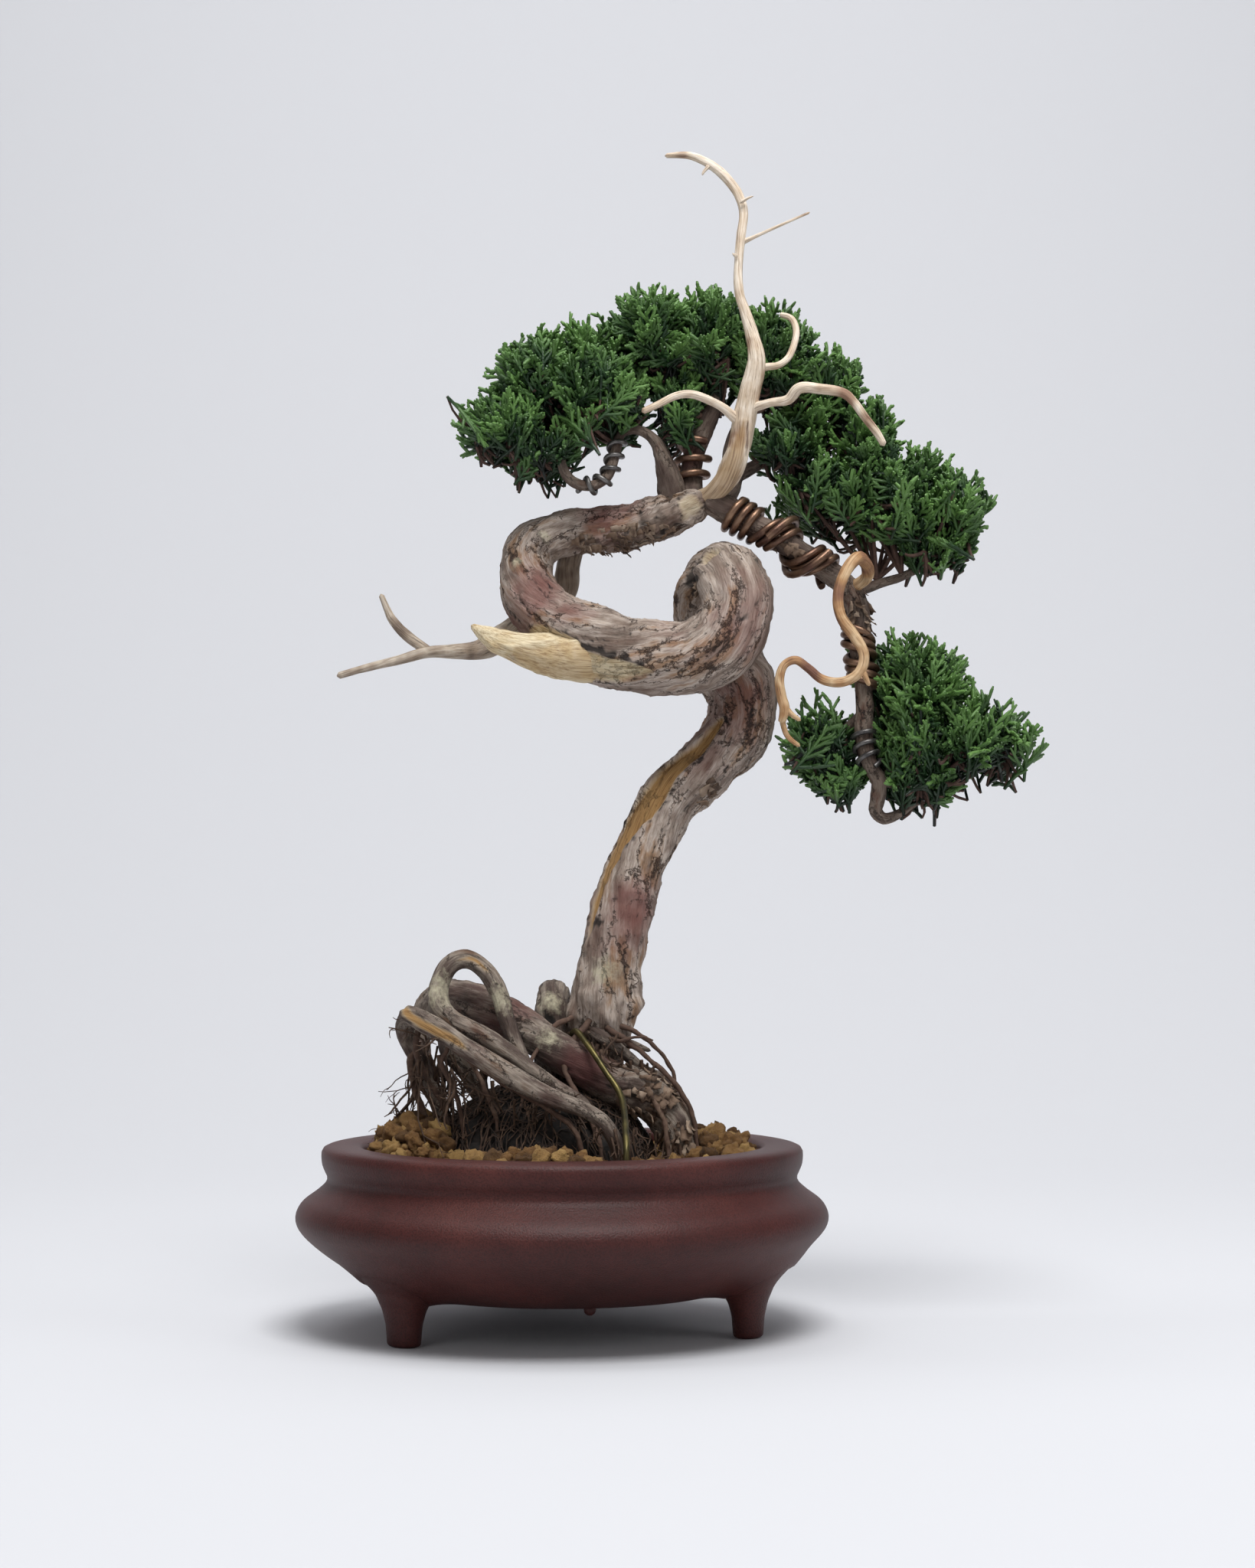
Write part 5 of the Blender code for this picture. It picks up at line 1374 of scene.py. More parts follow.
@dataclass(frozen=True)
class Wiring:
    """The training wires wound on the branches, and the tie wire that holds the roots in the pot."""

    bronze: AnodisedAluminium = AnodisedAluminium("bronze_anodised_wire", "#5a4238", "#91745e")
    grey: AnodisedAluminium = AnodisedAluminium("grey_anodised_wire", "#4c4a4a", "#8d8a87")
    olive: AnodisedAluminium = AnodisedAluminium("olive_tie_wire", "#423d27", "#6e643c")
    tie_radius: float = 1.0

    def coils(self) -> list[tuple[Coil, AnodisedAluminium]]:
        """Each wound wire with its finish."""
        return [
            (Coil("wire_cascade_a", BRANCH_CASCADE, ((9.5, 0.0), (19.5, -3.3), (48.0, -5.2))), self.bronze),
            (Coil("wire_cascade_b", BRANCH_CASCADE, ((22.3, -3.3), (47.0, -4.95)), strands=2), self.bronze),
            (Coil("wire_cascade_cross", BRANCH_CASCADE, ((24, 0.55), (42, -0.6)), layer=1), self.bronze),
            (Coil("wire_lower", BRANCH_CASCADE, ((67.0, 0.0), (84.0, -1.7)), strands=3), self.bronze),
            (Coil("wire_apex", BRANCH_APEX, ((9.0, 0.0), (25.0, 2.6))), self.bronze),
            (Coil("wire_left_twig", BRANCH_LEFT, ((38.5, 0.0), (63.0, 5.2)), radius=0.8), self.grey),
            (Coil("wire_hook", BRANCH_CASCADE, ((103.0, 0.0), (116.0, 3.5)), radius=0.8), self.grey),
        ]

    def tie_line(self) -> np.ndarray:
        """The tie wire's middle line, over the root raft and down into the grit."""
        over = (
            (1, 1.5, 68), (1, 0.5, 78), (1.3, -3, 87.5), (4, -10, 94.8), (8.5, -18.5, 90.5),
            (13.5, -24, 83.5), (19, -31, 75), (20.4, -49.8, 64), (20.4, -53.8, 57), (20.4, -53.8, 47),
        )
        line = smooth_curve(over, 1.0)
        return np.column_stack([line, np.full(len(line), self.tie_radius)])

    def build(self, cords: NodeTree) -> None:
        """Builds every wire."""
        wires = [(coil.name, coil.lines(), finish, 16, Slot.WIRE) for coil, finish in self.coils()]
        wires.append(("tie_wire", [self.tie_line()], self.olive, 14, Slot.OLIVE_WIRE))
        made = {}
        for name, lines, finish, sides, slot in wires:
            if finish.name not in made:
                made[finish.name] = finish.made()
            chains = Chains()
            chains.extend(lines)
            ride(chains.grown(name, cords, made[finish.name], sides), slot, name)


class Chains:
    """Chains of points that the cord tree sweeps: twigs, roots, wires and leafy shoots."""

    def __init__(self) -> None:
        """Starts with no chain."""
        self.rows: list[np.ndarray] = []
        self.tones: list[np.ndarray] = []

    def extend(self, chains: Sequence[np.ndarray], tone: float | np.ndarray = 0.5) -> None:
        """Adds chains, each of (x, y, z, half-width) rows, with one tone or one for each row."""
        for chain in chains:
            self.rows.append(chain)
            self.tones.append(np.broadcast_to(tone, len(chain)))

    def grown(self, name: str, tree: NodeTree, material: Material, sides: int = 6) -> Object:
        """Sweeps the chains into one piece.

        Args:
            name: the piece's name.
            tree: the cord tree.
            material: its finish.
            sides: how many sides each cord has.

        Returns:
            The new piece.
        """
        rows = np.vstack(self.rows)
        edges, start = [], 0
        for chain in self.rows:
            edges.extend((start + i, start + i + 1) for i in range(len(chain) - 1))
            start += len(chain)
        mesh = bpy.data.meshes.new(name)
        mesh.from_pydata(((rows[:, :3] + AXIS) * MM).tolist(), edges, [])
        store_facts(mesh, {"girth": rows[:, 3] * MM, "tone": np.concatenate(self.tones)})
        return grown(name, put(name, mesh), tree, {"Sides": sides, "Thickness": 1.0, "Material": material})


# ---------------------------------------------------------------- foliage


@dataclass(frozen=True)
class Lump:
    """A rounded lump of foliage: its centre and half-sizes."""

    centre: tuple[float, float, float]
    half: tuple[float, float, float]


@dataclass(frozen=True)
class Pad:
    """A pad of foliage, with the point on its branch that its twigs spread from."""

    name: str
    node: str
    stem: tuple[float, float, float]
    lumps: tuple[Lump, ...]
    seed: int
    fullness: float = 1.0
    reach: float = 1.0


@dataclass(frozen=True)
class Foliage:
    """Every pad: fans of scale-leaf cords on thin twigs."""

    leaves: ScaleLeaves = ScaleLeaves()
    twig_bark: Crumbly = Crumbly("young_twig_bark", "#241a16", "#5a4238", "#7f6a5c")
    cord_radius: float = 0.65
    fan_length: float = 16.0
    area_for_each: float = 35.0
    most_underneath: float = -0.7
    fan_kinds: int = 14
    hubs_in_lump: int = 6
    stem_rows: int = 5

    def pads(self) -> list[Pad]:
        """The pads, as the part has them."""
        return [
            Pad("foliage_crown_left", "foliage_crown", (46, 10, 296), (
                Lump((30, 14, 321), (16, 25, 15)), Lump((37, 12, 299), (10, 15, 14)),
            ), 101),
            Pad("foliage_crown_middle", "", (50, 12, 304), (Lump((47, 20, 319), (15, 27, 19)),), 102),
            Pad("foliage_crown_right", "", (61, 16, 299), (Lump((68, 19, 315), (15, 24, 18)),), 103),
            Pad("foliage_left_tip", "foliage_left", (-1, -3, 284), (
                Lump((-19, 1, 290), (15, 19, 11)), Lump((-9, 5, 307), (13, 22, 15)),
            ), 104),
            Pad("foliage_left_under", "", (-1, -3, 284), (Lump((-7, 1, 284), (13, 15, 9)),), 112),
            Pad("foliage_left_inner", "", (16, 0, 285), (
                Lump((6, 6, 304), (14, 25, 20)), Lump((19, 6, 300), (9, 20, 13)),
            ), 105),
            Pad("foliage_back_right", "foliage_back_right", (86, 17, 290), (
                Lump((85, 18, 305), (15, 21, 14)), Lump((97, 16, 292), (12, 18, 12)),
                Lump((73, 10, 285), (12, 14, 9)),
            ), 106, 0.75),
            Pad("foliage_right_inner", "foliage_right", (102, 6, 241), (
                Lump((89, 15, 271), (20, 22, 12)), Lump((111, 13, 267), (19, 25, 18)),
            ), 107, 0.85),
            Pad("foliage_right_top", "", (110, 6, 243), (Lump((101, 8, 280), (13, 16, 11)),), 113),
            Pad("foliage_right_tip", "", (126, 6, 251), (
                Lump((127, 10, 262), (12, 20, 15)), Lump((122, 8, 251), (13, 14, 7)),
            ), 108, 0.85),
            Pad("foliage_cascade_upper", "foliage_cascade", (108, 3, 207), (
                Lump((113, 5, 205), (17, 22, 18)), Lump((115, 6, 186), (15, 20, 12)),
            ), 109, 0.8, 1.15),
            Pad("foliage_cascade_tip", "", (120, -3, 177), (
                Lump((133, 3, 189), (21, 19, 12)), Lump((114, 0, 177), (15, 12, 7)),
            ), 110, 0.75, 1.25),
            Pad("foliage_cascade_left", "foliage_cascade_left", (91, 3, 191), (
                Lump((84, 9, 188), (13, 17, 13)), Lump((89, 7, 178), (11, 14, 7)),
            ), 111, 0.6, 1.2),
        ]

    def template_fan(self, rng: np.random.Generator) -> list[np.ndarray]:
        """One fan of cords in its own frame: it grows along X and spreads along Y, facing Z.

        Returns:
            Chains of (x, y, z, half-width, share of the way to the fan's tip).
        """
        bend = rng.normal() * 0.12
        lift = 0.1 * rng.normal()
        t = np.linspace(0, 1, 5)
        chains = [np.column_stack([t, bend * t**2, lift * t**2, [0.85, 0.95, 1, 1, 0.55], t])]
        side = 1 if rng.random() < 0.5 else -1
        feet = np.linspace(0.16, 0.93, 9)
        for at, start in zip(feet, np.column_stack([feet, bend * feet**2, lift * feet**2])):
            side = -side
            reach = 0.48 * (1 - 0.6 * at) * (0.75 + 0.5 * rng.random())
            tilt = math.radians(40 - 8 * at + 7 * rng.normal())
            heading = np.array([math.cos(tilt), side * math.sin(tilt), 0.25 * rng.normal()])
            branch = self.side_cord(rng, start, heading, reach, 4, 1.0)
            chains.append(branch)
            small = -1
            for share in (0.4, 0.72) if reach > 0.24 else (0.6,):
                small = -small
                base = branch[0, :3] + (branch[-1, :3] - branch[0, :3]) * share
                angle = tilt + small * math.radians(36 + 8 * rng.normal())
                twig = np.array([math.cos(angle), side * math.sin(angle), 0.35 * rng.normal()])
                shorter = reach * 0.46 * (1.1 - 0.4 * share)
                chains.append(self.side_cord(rng, base, twig, shorter, 3, 0.95))
        return chains

    @staticmethod
    def side_cord(rng: np.random.Generator, start: np.ndarray, heading: np.ndarray, reach: float,
            steps: int, thick: float) -> np.ndarray:
        """One cord at a fan's side, curling towards the fan's tip.

        Args:
            rng: the source of chance.
            start: where it leaves the spine or another cord.
            heading: the way it sets off.
            reach: its length as a share of the fan's.
            steps: how many rows it has.
            thick: its half-width as a share of a full cord's.

        Returns:
            Rows of x, y, z, half-width and share of the way to the fan's tip.
        """
        t = np.linspace(0, 1, steps)[:, None]
        curl = np.array([0.35, 0, 0.12 * rng.normal()]) * reach
        line = start + heading * reach * t + curl * t**2 * 0.5
        girth = np.full(steps, thick)
        girth[-1] *= 0.55
        girth[0] *= 0.8
        return np.column_stack([line, girth, np.clip(line[:, 0], 0, 1.2)])

    def fan_frames(self, pad: Pad, rng: np.random.Generator) -> list[tuple]:
        """Where each fan of a pad grows: its foot, its three directions, its length and its depth in it."""
        found = []
        for number, lump in enumerate(pad.lumps):
            centre, half = np.array(lump.centre), np.array(lump.half)
            a, b, c = half
            area = 4 * math.pi * (((a * b) ** 1.6 + (a * c) ** 1.6 + (b * c) ** 1.6) / 3) ** (1 / 1.6)
            for _ in range(int(area * pad.fullness / self.area_for_each)):
                ray = unit(rng.normal(size=3))
                if ray[2] < self.most_underneath:
                    ray[2] *= -0.3
                    ray = unit(ray)
                depth = 1 - 0.45 * rng.random() ** 1.6
                tip = centre + ray * half * depth
                inside = any(np.linalg.norm((tip - np.array(other.centre)) / np.array(other.half)) < 0.72
                    for k, other in enumerate(pad.lumps) if k != number)
                if inside:
                    continue
                outward = unit(ray / half)
                growth = unit(0.62 * outward + np.array([0, 0, 0.62]) + 0.28 * rng.normal(size=3))
                across = np.cross(growth, outward) + 0.5 * rng.normal(size=3)
                across = unit(across - growth * (across @ growth))
                length = self.fan_length * pad.reach * (0.7 + 0.5 * rng.random()) * min(1.0, (a + c) / 26.0)
                foot = tip - growth * length * 0.93
                found.append((foot, np.stack([growth, across, np.cross(growth, across)]), length, depth))
        return found

    def stem_to(self, start: np.ndarray, end: np.ndarray, rng: np.random.Generator) -> np.ndarray:
        """A thin twig from the branch to a fan's foot, sagging a little."""
        t = np.linspace(0, 1, self.stem_rows)[:, None]
        middle = (start + end) / 2 + np.array([0, 0, -3.0]) + 1.5 * rng.normal(size=3)
        line = (1 - t) ** 2 * start + 2 * t * (1 - t) * middle + t**2 * end
        return np.column_stack([line, np.linspace(0.75, 0.42, self.stem_rows)])

    def build(self, cords: NodeTree) -> None:
        """Builds each pad's leafy cords, and all their twigs."""
        leaves, bark = self.leaves.made(), self.twig_bark.made()
        twigs = Chains()
        for pad in self.pads():
            rng = np.random.default_rng(pad.seed)
            fans = [self.template_fan(rng) for _ in range(self.fan_kinds)]
            chains = Chains()
            stem = np.array(pad.stem, float)
            hubs = []
            for lump in pad.lumps:
                centre, half = np.array(lump.centre), np.array(lump.half)
                for _ in range(self.hubs_in_lump):
                    share = [rng.uniform(-0.6, 0.6), rng.uniform(-0.6, 0.6), rng.uniform(-0.55, 0)]
                    hubs.append(centre + np.array(share) * half)
                    chain = self.stem_to(stem, hubs[-1], rng)
                    chain[:, 3] = np.linspace(0.85, 0.5, self.stem_rows)
                    twigs.extend([chain], 0.4)
            hubs = np.array(hubs)
            for foot, axes, length, depth in self.fan_frames(pad, rng):
                # Fans deeper in the pad are darker: painted shade inside the pad, with its older growth; tips
                # are lighter as fresh growth
                tone = 0.12 + 0.5 * (depth - 0.55) / 0.45 + 0.1 * rng.normal()
                for chain in fans[rng.integers(len(fans))]:
                    line = foot + (chain[:, :3] * length) @ axes
                    row = np.column_stack([line, chain[:, 3] * self.cord_radius])
                    chains.extend([row], np.clip(tone + 0.55 * (chain[:, 4] - 0.45), 0, 1))
                hub = hubs[np.argmin(np.linalg.norm(hubs - foot, axis=1))]
                twigs.extend([self.stem_to(hub, foot, rng)], 0.3)
            ride(chains.grown(pad.name, cords, leaves, sides=4), Slot.FOLIAGE, *filter(None, [pad.node]))
        ride(twigs.grown("foliage_twigs", cords, bark, sides=4), Slot.BARK)


# ---------------------------------------------------------------- pot and what fills it


@dataclass(frozen=True)
class Pot:
    """The bowl on its three feet, thrown and burnished, with its drain hole."""

    clay: StonewareClay = StonewareClay()
    radius: float = 85.0
    height: float = 58.5
    base_radius: float = 52.0
    foot_height: float = 13.0
    foot_radius: float = 4.6
    foot_spread: float = 1.35
    foot_circle: float = 62.0
    foot_angles: tuple[float, ...] = (220.0, 340.6, 100.0)
    mouth_radius: float = 63.5
    cavity_floor: float = 19.5
    drain_radius: float = 9.5
    sides: int = 144
    fillet: float = 9.0
    lower_rows: int = 40
    drip_radius: float = 1.9

    def outside(self) -> np.ndarray:
        """The bowl's outside, from the edge of the base to the lip's top, as (radius, height) rows."""
        bulge = self.radius - self.base_radius
        belly = self.height - 23.5
        rise = belly - self.foot_height
        neck_radius, neck = self.radius - 10.0, self.height - 10.0
        rim = self.radius - 8.2
        keys = [(self.base_radius, self.foot_height), (self.base_radius + 0.28 * bulge,
                self.foot_height + 0.15 * rise), (self.base_radius + 0.61 * bulge,
                self.foot_height + 0.42 * rise), (self.base_radius + 0.9 * bulge,
                self.foot_height + 0.76 * rise), (self.radius, belly), (self.radius - 1.5, belly + 5.0),
            (neck_radius + 3.6, neck - 4.6), (neck_radius + 0.7, neck - 2.0), (neck_radius, neck),
            (neck_radius + 0.8, neck + 2.0), (rim - 0.1, self.height - 5.6), (rim + 0.1, self.height - 2.2),
            (rim - 0.8, self.height - 0.6), (rim - 3.0, self.height)]
        return smooth_curve([(radius, 0.0, height) for radius, height in keys], 1.3)[:, (0, 2)]

    def inside(self) -> np.ndarray:
        """The bowl's inside, from the lip down to the middle of its floor."""
        mouth, floor = self.mouth_radius, self.cavity_floor
        keys = [(mouth + 1.5, self.height - 0.1), (mouth + 0.2, self.height - 1.2),
            (mouth, self.height - 4.0), (mouth, self.height - 8.0), (mouth + 7.0, self.height - 13.7),
            (self.radius - 7.2, 36.0), (self.radius - 9.8, 31.0), (self.base_radius + 14.0, 24.6),
            (self.base_radius, floor)]
        return smooth_curve([(radius, 0.0, height) for radius, height in keys], 2.2)[:, (0, 2)]

    def foot_profile(self, heights: np.ndarray) -> np.ndarray:
        """A foot's half-width across the rim at each height."""
        level = [0.0, 0.9, 0.5 * self.foot_height, 0.85 * self.foot_height, self.foot_height + 2.5, 20.0,
            26.0]
        width = [-0.8, 0.0, 0.4, 1.4, 3.2, 6.0, 9.5]
        return self.foot_radius + np.interp(heights, level, width)

    def build(self) -> None:
        """Builds the pot as one closed piece."""
        outside, inside = self.outside(), self.inside()
        drain = np.array([(self.drain_radius, self.cavity_floor), (self.drain_radius, self.foot_height)])
        ring = np.vstack([outside, inside, drain])
        places = turned_rings(ring, self.sides)
        faces = grid_faces(len(ring), self.sides)
        last = (len(ring) - 1) * self.sides
        faces += [(last + i, last + (i + 1) % self.sides, (i + 1) % self.sides,
                i) for i in range(self.sides)]
        # Swell the bowl towards each foot so that they flow into one another
        outer = len(outside) * self.sides
        slope = unit(np.gradient(outside, axis=0))
        normal = np.repeat(np.column_stack([slope[:, 1], -slope[:, 0]]), self.sides, axis=0)
        spread = np.tile(np.arange(self.sides) * math.tau / self.sides, len(outside))
        shells = []
        for angle in self.foot_angles:
            turn = math.radians(angle)
            cosine, sine = math.cos(turn), math.sin(turn)
            local = places[:outer] @ np.array([[cosine, -sine, 0], [sine, cosine, 0], [0, 0, 1]])
            away = np.hypot(local[:, 0] - self.foot_circle, local[:, 1] / self.foot_spread)
            gap = np.abs(away - self.foot_profile(local[:, 2]))
            near = np.clip(1 - gap / self.fillet, 0, 1) ** 2 * self.fillet / 4
            near *= 1 - smoothstep(24.0, 34.0, local[:, 2])
            places[:outer, 0] += near * normal[:, 0] * np.cos(spread)
            places[:outer, 1] += near * normal[:, 0] * np.sin(spread)
            places[:outer, 2] += near * normal[:, 1]
            shells.append(self.foot(turn))
        whole = Shell.joined([Shell(places, faces), *shells, self.drip()])
        ride(whole.to_object("pot", self.clay.made()), Slot.CLAY, "pot")

    def foot(self, turn: float) -> Shell:
        """One tapered foot, flared where it meets the bowl."""
        heights = np.concatenate([np.linspace(0.0, 1.2, 5), np.linspace(2.0, 24.0, 24)])
        width = self.foot_profile(heights)
        width[:4] = self.foot_radius - np.array([1.1, 0.5, 0.2, 0.06])
        outline = np.vstack([[0, 0], np.column_stack([width, heights]), [0, 24.0]])
        shell = lathe(outline, 40)
        x, y, z = shell.places.T
        # Each foot tapers inwards as it goes down, and swells where it meets the bowl
        bowl = self.outside()
        local_x = x + self.foot_circle
        reach = np.interp(z, bowl[: self.lower_rows, 1], bowl[: self.lower_rows, 0], left=self.base_radius)
        gap = np.abs(np.hypot(local_x, y * self.foot_spread) - reach)
        swell = np.clip(1 - gap / self.fillet, 0, 1) ** 2 * self.fillet / 4
        swell *= smoothstep(8.0, 15.0, z) * (np.hypot(x, y) > 0.1)
        away = np.maximum(np.hypot(x, y), 1e-6)
        x, y = x + swell * x / away, y + swell * y / away
        x, y = x + self.foot_circle, y * self.foot_spread
        shell.places = np.column_stack([x * math.cos(turn) - y * math.sin(turn),
                x * math.sin(turn) + y * math.cos(turn), z])
        return shell

    def drip(self) -> Shell:
        """The bead of clay under the front edge of the base."""
        share = np.linspace(-math.pi / 2, math.pi / 2, 9)
        drop = self.foot_height - 0.4
        outline = np.column_stack([self.drip_radius * np.cos(share),
                drop + self.drip_radius * np.sin(share)])
        shell = lathe(outline, 20)
        shell.places += np.array([9.4, -self.base_radius + 2.2, 0.0])
        return shell


@dataclass(frozen=True)
class Grade:
    """One size of baked clay granule, with its lift off the bed, in millimetres."""

    name: str
    fineness: int
    spacing: float
    smallest: float
    largest: float
    lift: float
    seed: int


@dataclass(frozen=True)
class Planting:
    """What fills the pot: the soil, the fibrous root ball and the baked clay grit on top."""

    grit: Crumbly = Crumbly("akadama_granules", "#2f1e10", "#7b5830", "#b5925a", (0.15, 0.45, 0.8), 480.0,
        7.0, 0.75, 1.0, 1.8, 0.95)
    fibre: Crumbly = Crumbly("fine_dead_roots", "#150e0a", "#3f2d21", "#7c614b")
    side_root_bark: Crumbly = Crumbly("side_root_bark", "#22150f", "#584236", "#8e7a66")
    # The root ball's near-black skin is its own dark brown with painted shade among the matted roots
    mound_skin: PlainFinish = PlainFinish("fibrous_root_ball", "#070504", "#1f1610", 1.4)
    soil: PlainFinish = PlainFinish("bonsai_soil", "#1d140d", "#3a2a1b", 2.0)
    grit_bed: PlainFinish = PlainFinish("akadama_bed", "#4a3118", "#7d5b2e", 1.6)
    plastic: PlainFinish = PlainFinish("black_mesh_plastic", "#0c0c0c", "#161616", 0.8, 0.5)
    clip: AnodisedAluminium = AnodisedAluminium("clip_wire", "#5a4a3e", "#8f7d6a")
    centre: tuple[float, float] = (-6.0, -4.0)
    half: tuple[float, float] = (38.0, 31.0)
    top: float = 79.0
    bottom: float = 44.5
    grades: tuple[Grade, ...] = (
        Grade("akadama_large", 3, 4.3, 4.4, 8.2, 0.9, 3), Grade("akadama_small", 2, 2.7, 2.6, 4.8, 0.2, 4)
    )
    lump_kinds: int = 6
    mat_roots: int = 900
    mat_floor: float = 50.0
    root_floor: float = 49.0

    def granule_shapes(self, name: str, fineness: int) -> Collection:
        """Six lumps of baked clay, one millimetre across, that the scatter picks from.

        Args:
            name: the collection's name.
            fineness: how many times each lump's mesh is divided.

        Returns:
            The lumps, which aren't in the scene themselves.
        """
        kept = bpy.data.collections.new(name)
        for number in range(self.lump_kinds):
            bpy.ops.mesh.primitive_ico_sphere_add(subdivisions=fineness, radius=0.5)
            lump = bpy.context.object
            lump.name = f"{name}_{number}"
            co = np.array([v.co for v in lump.data.vertices])
            crumble = 0.5 * noise(co * 2.6 + number * 7.3, 17) + 0.3 * noise(co * 5.6 + number * 3.1, 18)
            if fineness > 2:
                crumble += 0.2 * noise(co * 11.0 + number * 5.7, 19)
            co *= np.maximum(1 + crumble, 0.55)[:, None]
            co *= np.array([1.0, 0.86, 0.74]) * (1 + 0.12 * math.sin(number * 2.1))
            lump.data.vertices.foreach_set("co", (co * MM).ravel())
            lump.data.shade_smooth()
            bpy.context.scene.collection.objects.unlink(lump)
            kept.objects.link(lump)
        return kept

    def mound(self) -> Shell:
        """The root ball: a lumpy mound."""
        share = np.linspace(0, math.pi / 2, 40)
        rise = self.top - self.bottom
        outline = np.vstack([[0, 0], np.column_stack([np.cos(share), np.sin(share)])[:-1], [0, 1.0]])
        shell = lathe(outline, 120)
        places = shell.places * np.array([*self.half, rise]) + np.array([*self.centre, self.bottom])
        outward = unit(shell.places + 1e-6)
        height = 2.4 * fractal(places / 9.0, 3, 23) - 0.8
        shell.places = places + outward * (height * (shell.places[:, 2] > 0.02))[:, None]
        return shell

    def surface_height(self, x: np.ndarray, y: np.ndarray) -> np.ndarray:
        """The mound's height above the floor over a place in the pot."""
        across = ((x - self.centre[0]) / self.half[0]) ** 2 + ((y - self.centre[1]) / self.half[1]) ** 2
        return self.bottom + (self.top - self.bottom) * np.sqrt(np.clip(1 - across, 0, 1))

    def matted_fibres(self, rng: np.random.Generator) -> Chains:
        """Fine roots matted over the mound."""
        chains = Chains()
        for _ in range(self.mat_roots):
            angle, reach = rng.uniform(0, math.tau), math.sqrt(rng.uniform(0.02, 1.08))
            x = self.centre[0] + self.half[0] * reach * math.cos(angle)
            y = self.centre[1] + self.half[1] * reach * math.sin(angle)
            heading = rng.uniform(0, math.tau)
            count = rng.integers(6, 13)
            steps = heading + np.cumsum(rng.normal(size=count) * 0.45)
            xs = x + np.cumsum(np.cos(steps)) * 1.5
            ys = y + np.cumsum(np.sin(steps)) * 1.5
            ground = np.maximum(self.surface_height(xs, ys), self.mat_floor)
            zs = ground + 0.3 + 1.3 * np.abs(noise(np.column_stack([xs, ys, ys]) / 3))
            girth = np.linspace(1, 0.5, count) * rng.uniform(0.14, 0.4)
            chains.extend([np.column_stack([xs, ys, zs, girth])], rng.uniform(0, 0.8) ** 1.5)
        return chains

    def side_roots(self) -> Chains:
        """Woody little roots between the big ones, along given ways."""
        ways = (
            ((9, -7, 98, 1.5), (4, -12, 92, 1.4), (1, -17, 84, 1.2), (6, -23, 74, 1.1),
             (12, -28, 62, 1.0), (13, -29, 52, 0.8)),
            ((14, -9, 96, 1.3), (22, -12, 91, 1.2), (30, -14, 84, 1.1), (38, -15, 76, 1.0),
             (42, -15, 66, 0.9), (43, -16, 52, 0.7)),
            ((18, -7, 97, 1.1), (27, -8, 92, 1.0), (33, -6, 86, 0.9), (36, -5, 78, 0.8), (40, -4, 52, 0.7)),
            ((3, -6, 99, 1.2), (-2, -10, 97, 1.1), (-6, -14, 92, 0.9), (-10, -18, 84, 0.8),
             (-13, -22, 70, 0.7)),
            ((-46, -13, 92, 1.7), (-48, -12, 84, 1.5), (-46, -10, 75, 1.4), (-43, -9, 66, 1.2),
             (-41, -8, 52, 1.0)),
            ((-44, -22, 99, 1.2), (-46, -18, 90, 1.2), (-42, -16, 80, 1.1), (-37, -15, 70, 1.0),
             (-34, -15, 54, 0.8)),
            ((-34, -27, 93, 1.1), (-37, -24, 85, 1.0), (-33, -22, 76, 1.0), (-31, -20, 66, 0.9),
             (-30, -19, 52, 0.7)),
            ((-40, -24, 96, 1.0), (-30, -27, 88, 1.3), (-18, -30, 80, 1.3), (-6, -33, 73, 1.2),
             (4, -35, 66, 1.1), (9, -36, 52, 0.8)),
            ((-27, -20, 95, 1.0), (-28, -21, 86, 0.9), (-24, -24, 78, 0.9), (-20, -26, 68, 0.8),
             (-18, -27, 52, 0.6)),
            ((24, -14, 78, 1.2), (30, -18, 72, 1.1), (33, -20, 64, 1.0), (34, -21, 52, 0.8)),
            ((12, -6, 94, 0.9), (18, -12, 92, 0.8), (24, -14, 93, 0.5), (29, -15, 92, 0.3)),
        )
        chains = Chains()
        for number, way in enumerate(ways):
            row = smooth_curve(way, 1.2)
            row[:, :3] += 0.5 * np.column_stack([noise(row[:, :3] / 4.0 + 3.0 * k,
                        number) for k in range(3)])
            row[:, 3] *= 0.8 + 0.25 * noise(row[:, :3] / 2.5, 50 + number)
            chains.extend([row], 0.35 + 0.05 * (number % 5))
        return chains

    def hanging_fibres(self, rng: np.random.Generator) -> Chains:
        """Fine roots that hang from the bends of the bare roots down to the soil, and branch."""
        chains = Chains()
        sources = [
            ((-44, -14, 88), (6, 8, 5), 14, 38.0), ((-37, -6, 84), (6, 8, 6), 16, 32.0),
            ((-26, -18, 82), (8, 8, 5), 12, 22.0), ((-8, -28, 76), (12, 5, 3), 12, 14.0),
            ((13, -10, 92), (6, 4, 4), 14, 18.0), ((24, -12, 84), (6, 4, 3), 12, 14.0),
            ((20, -37, 66), (10, 4, 3), 10, 12.0), ((34, -18, 62), (6, 5, 4), 10, 12.0),
        ]
        for centre, spread, number, fall in sources:
            for _ in range(number):
                start = np.array(centre) + rng.normal(size=3) * np.array(spread) * 0.5
                heading = unit(np.array([0.3 * rng.normal(), 0.3 * rng.normal() - 0.1, -1.0]))
                girth = rng.uniform(0.35, 0.75)
                chains.extend(self.wandering(start, heading, fall * rng.uniform(0.4, 1.0), girth, 2, rng),
                    0.55)
        return chains

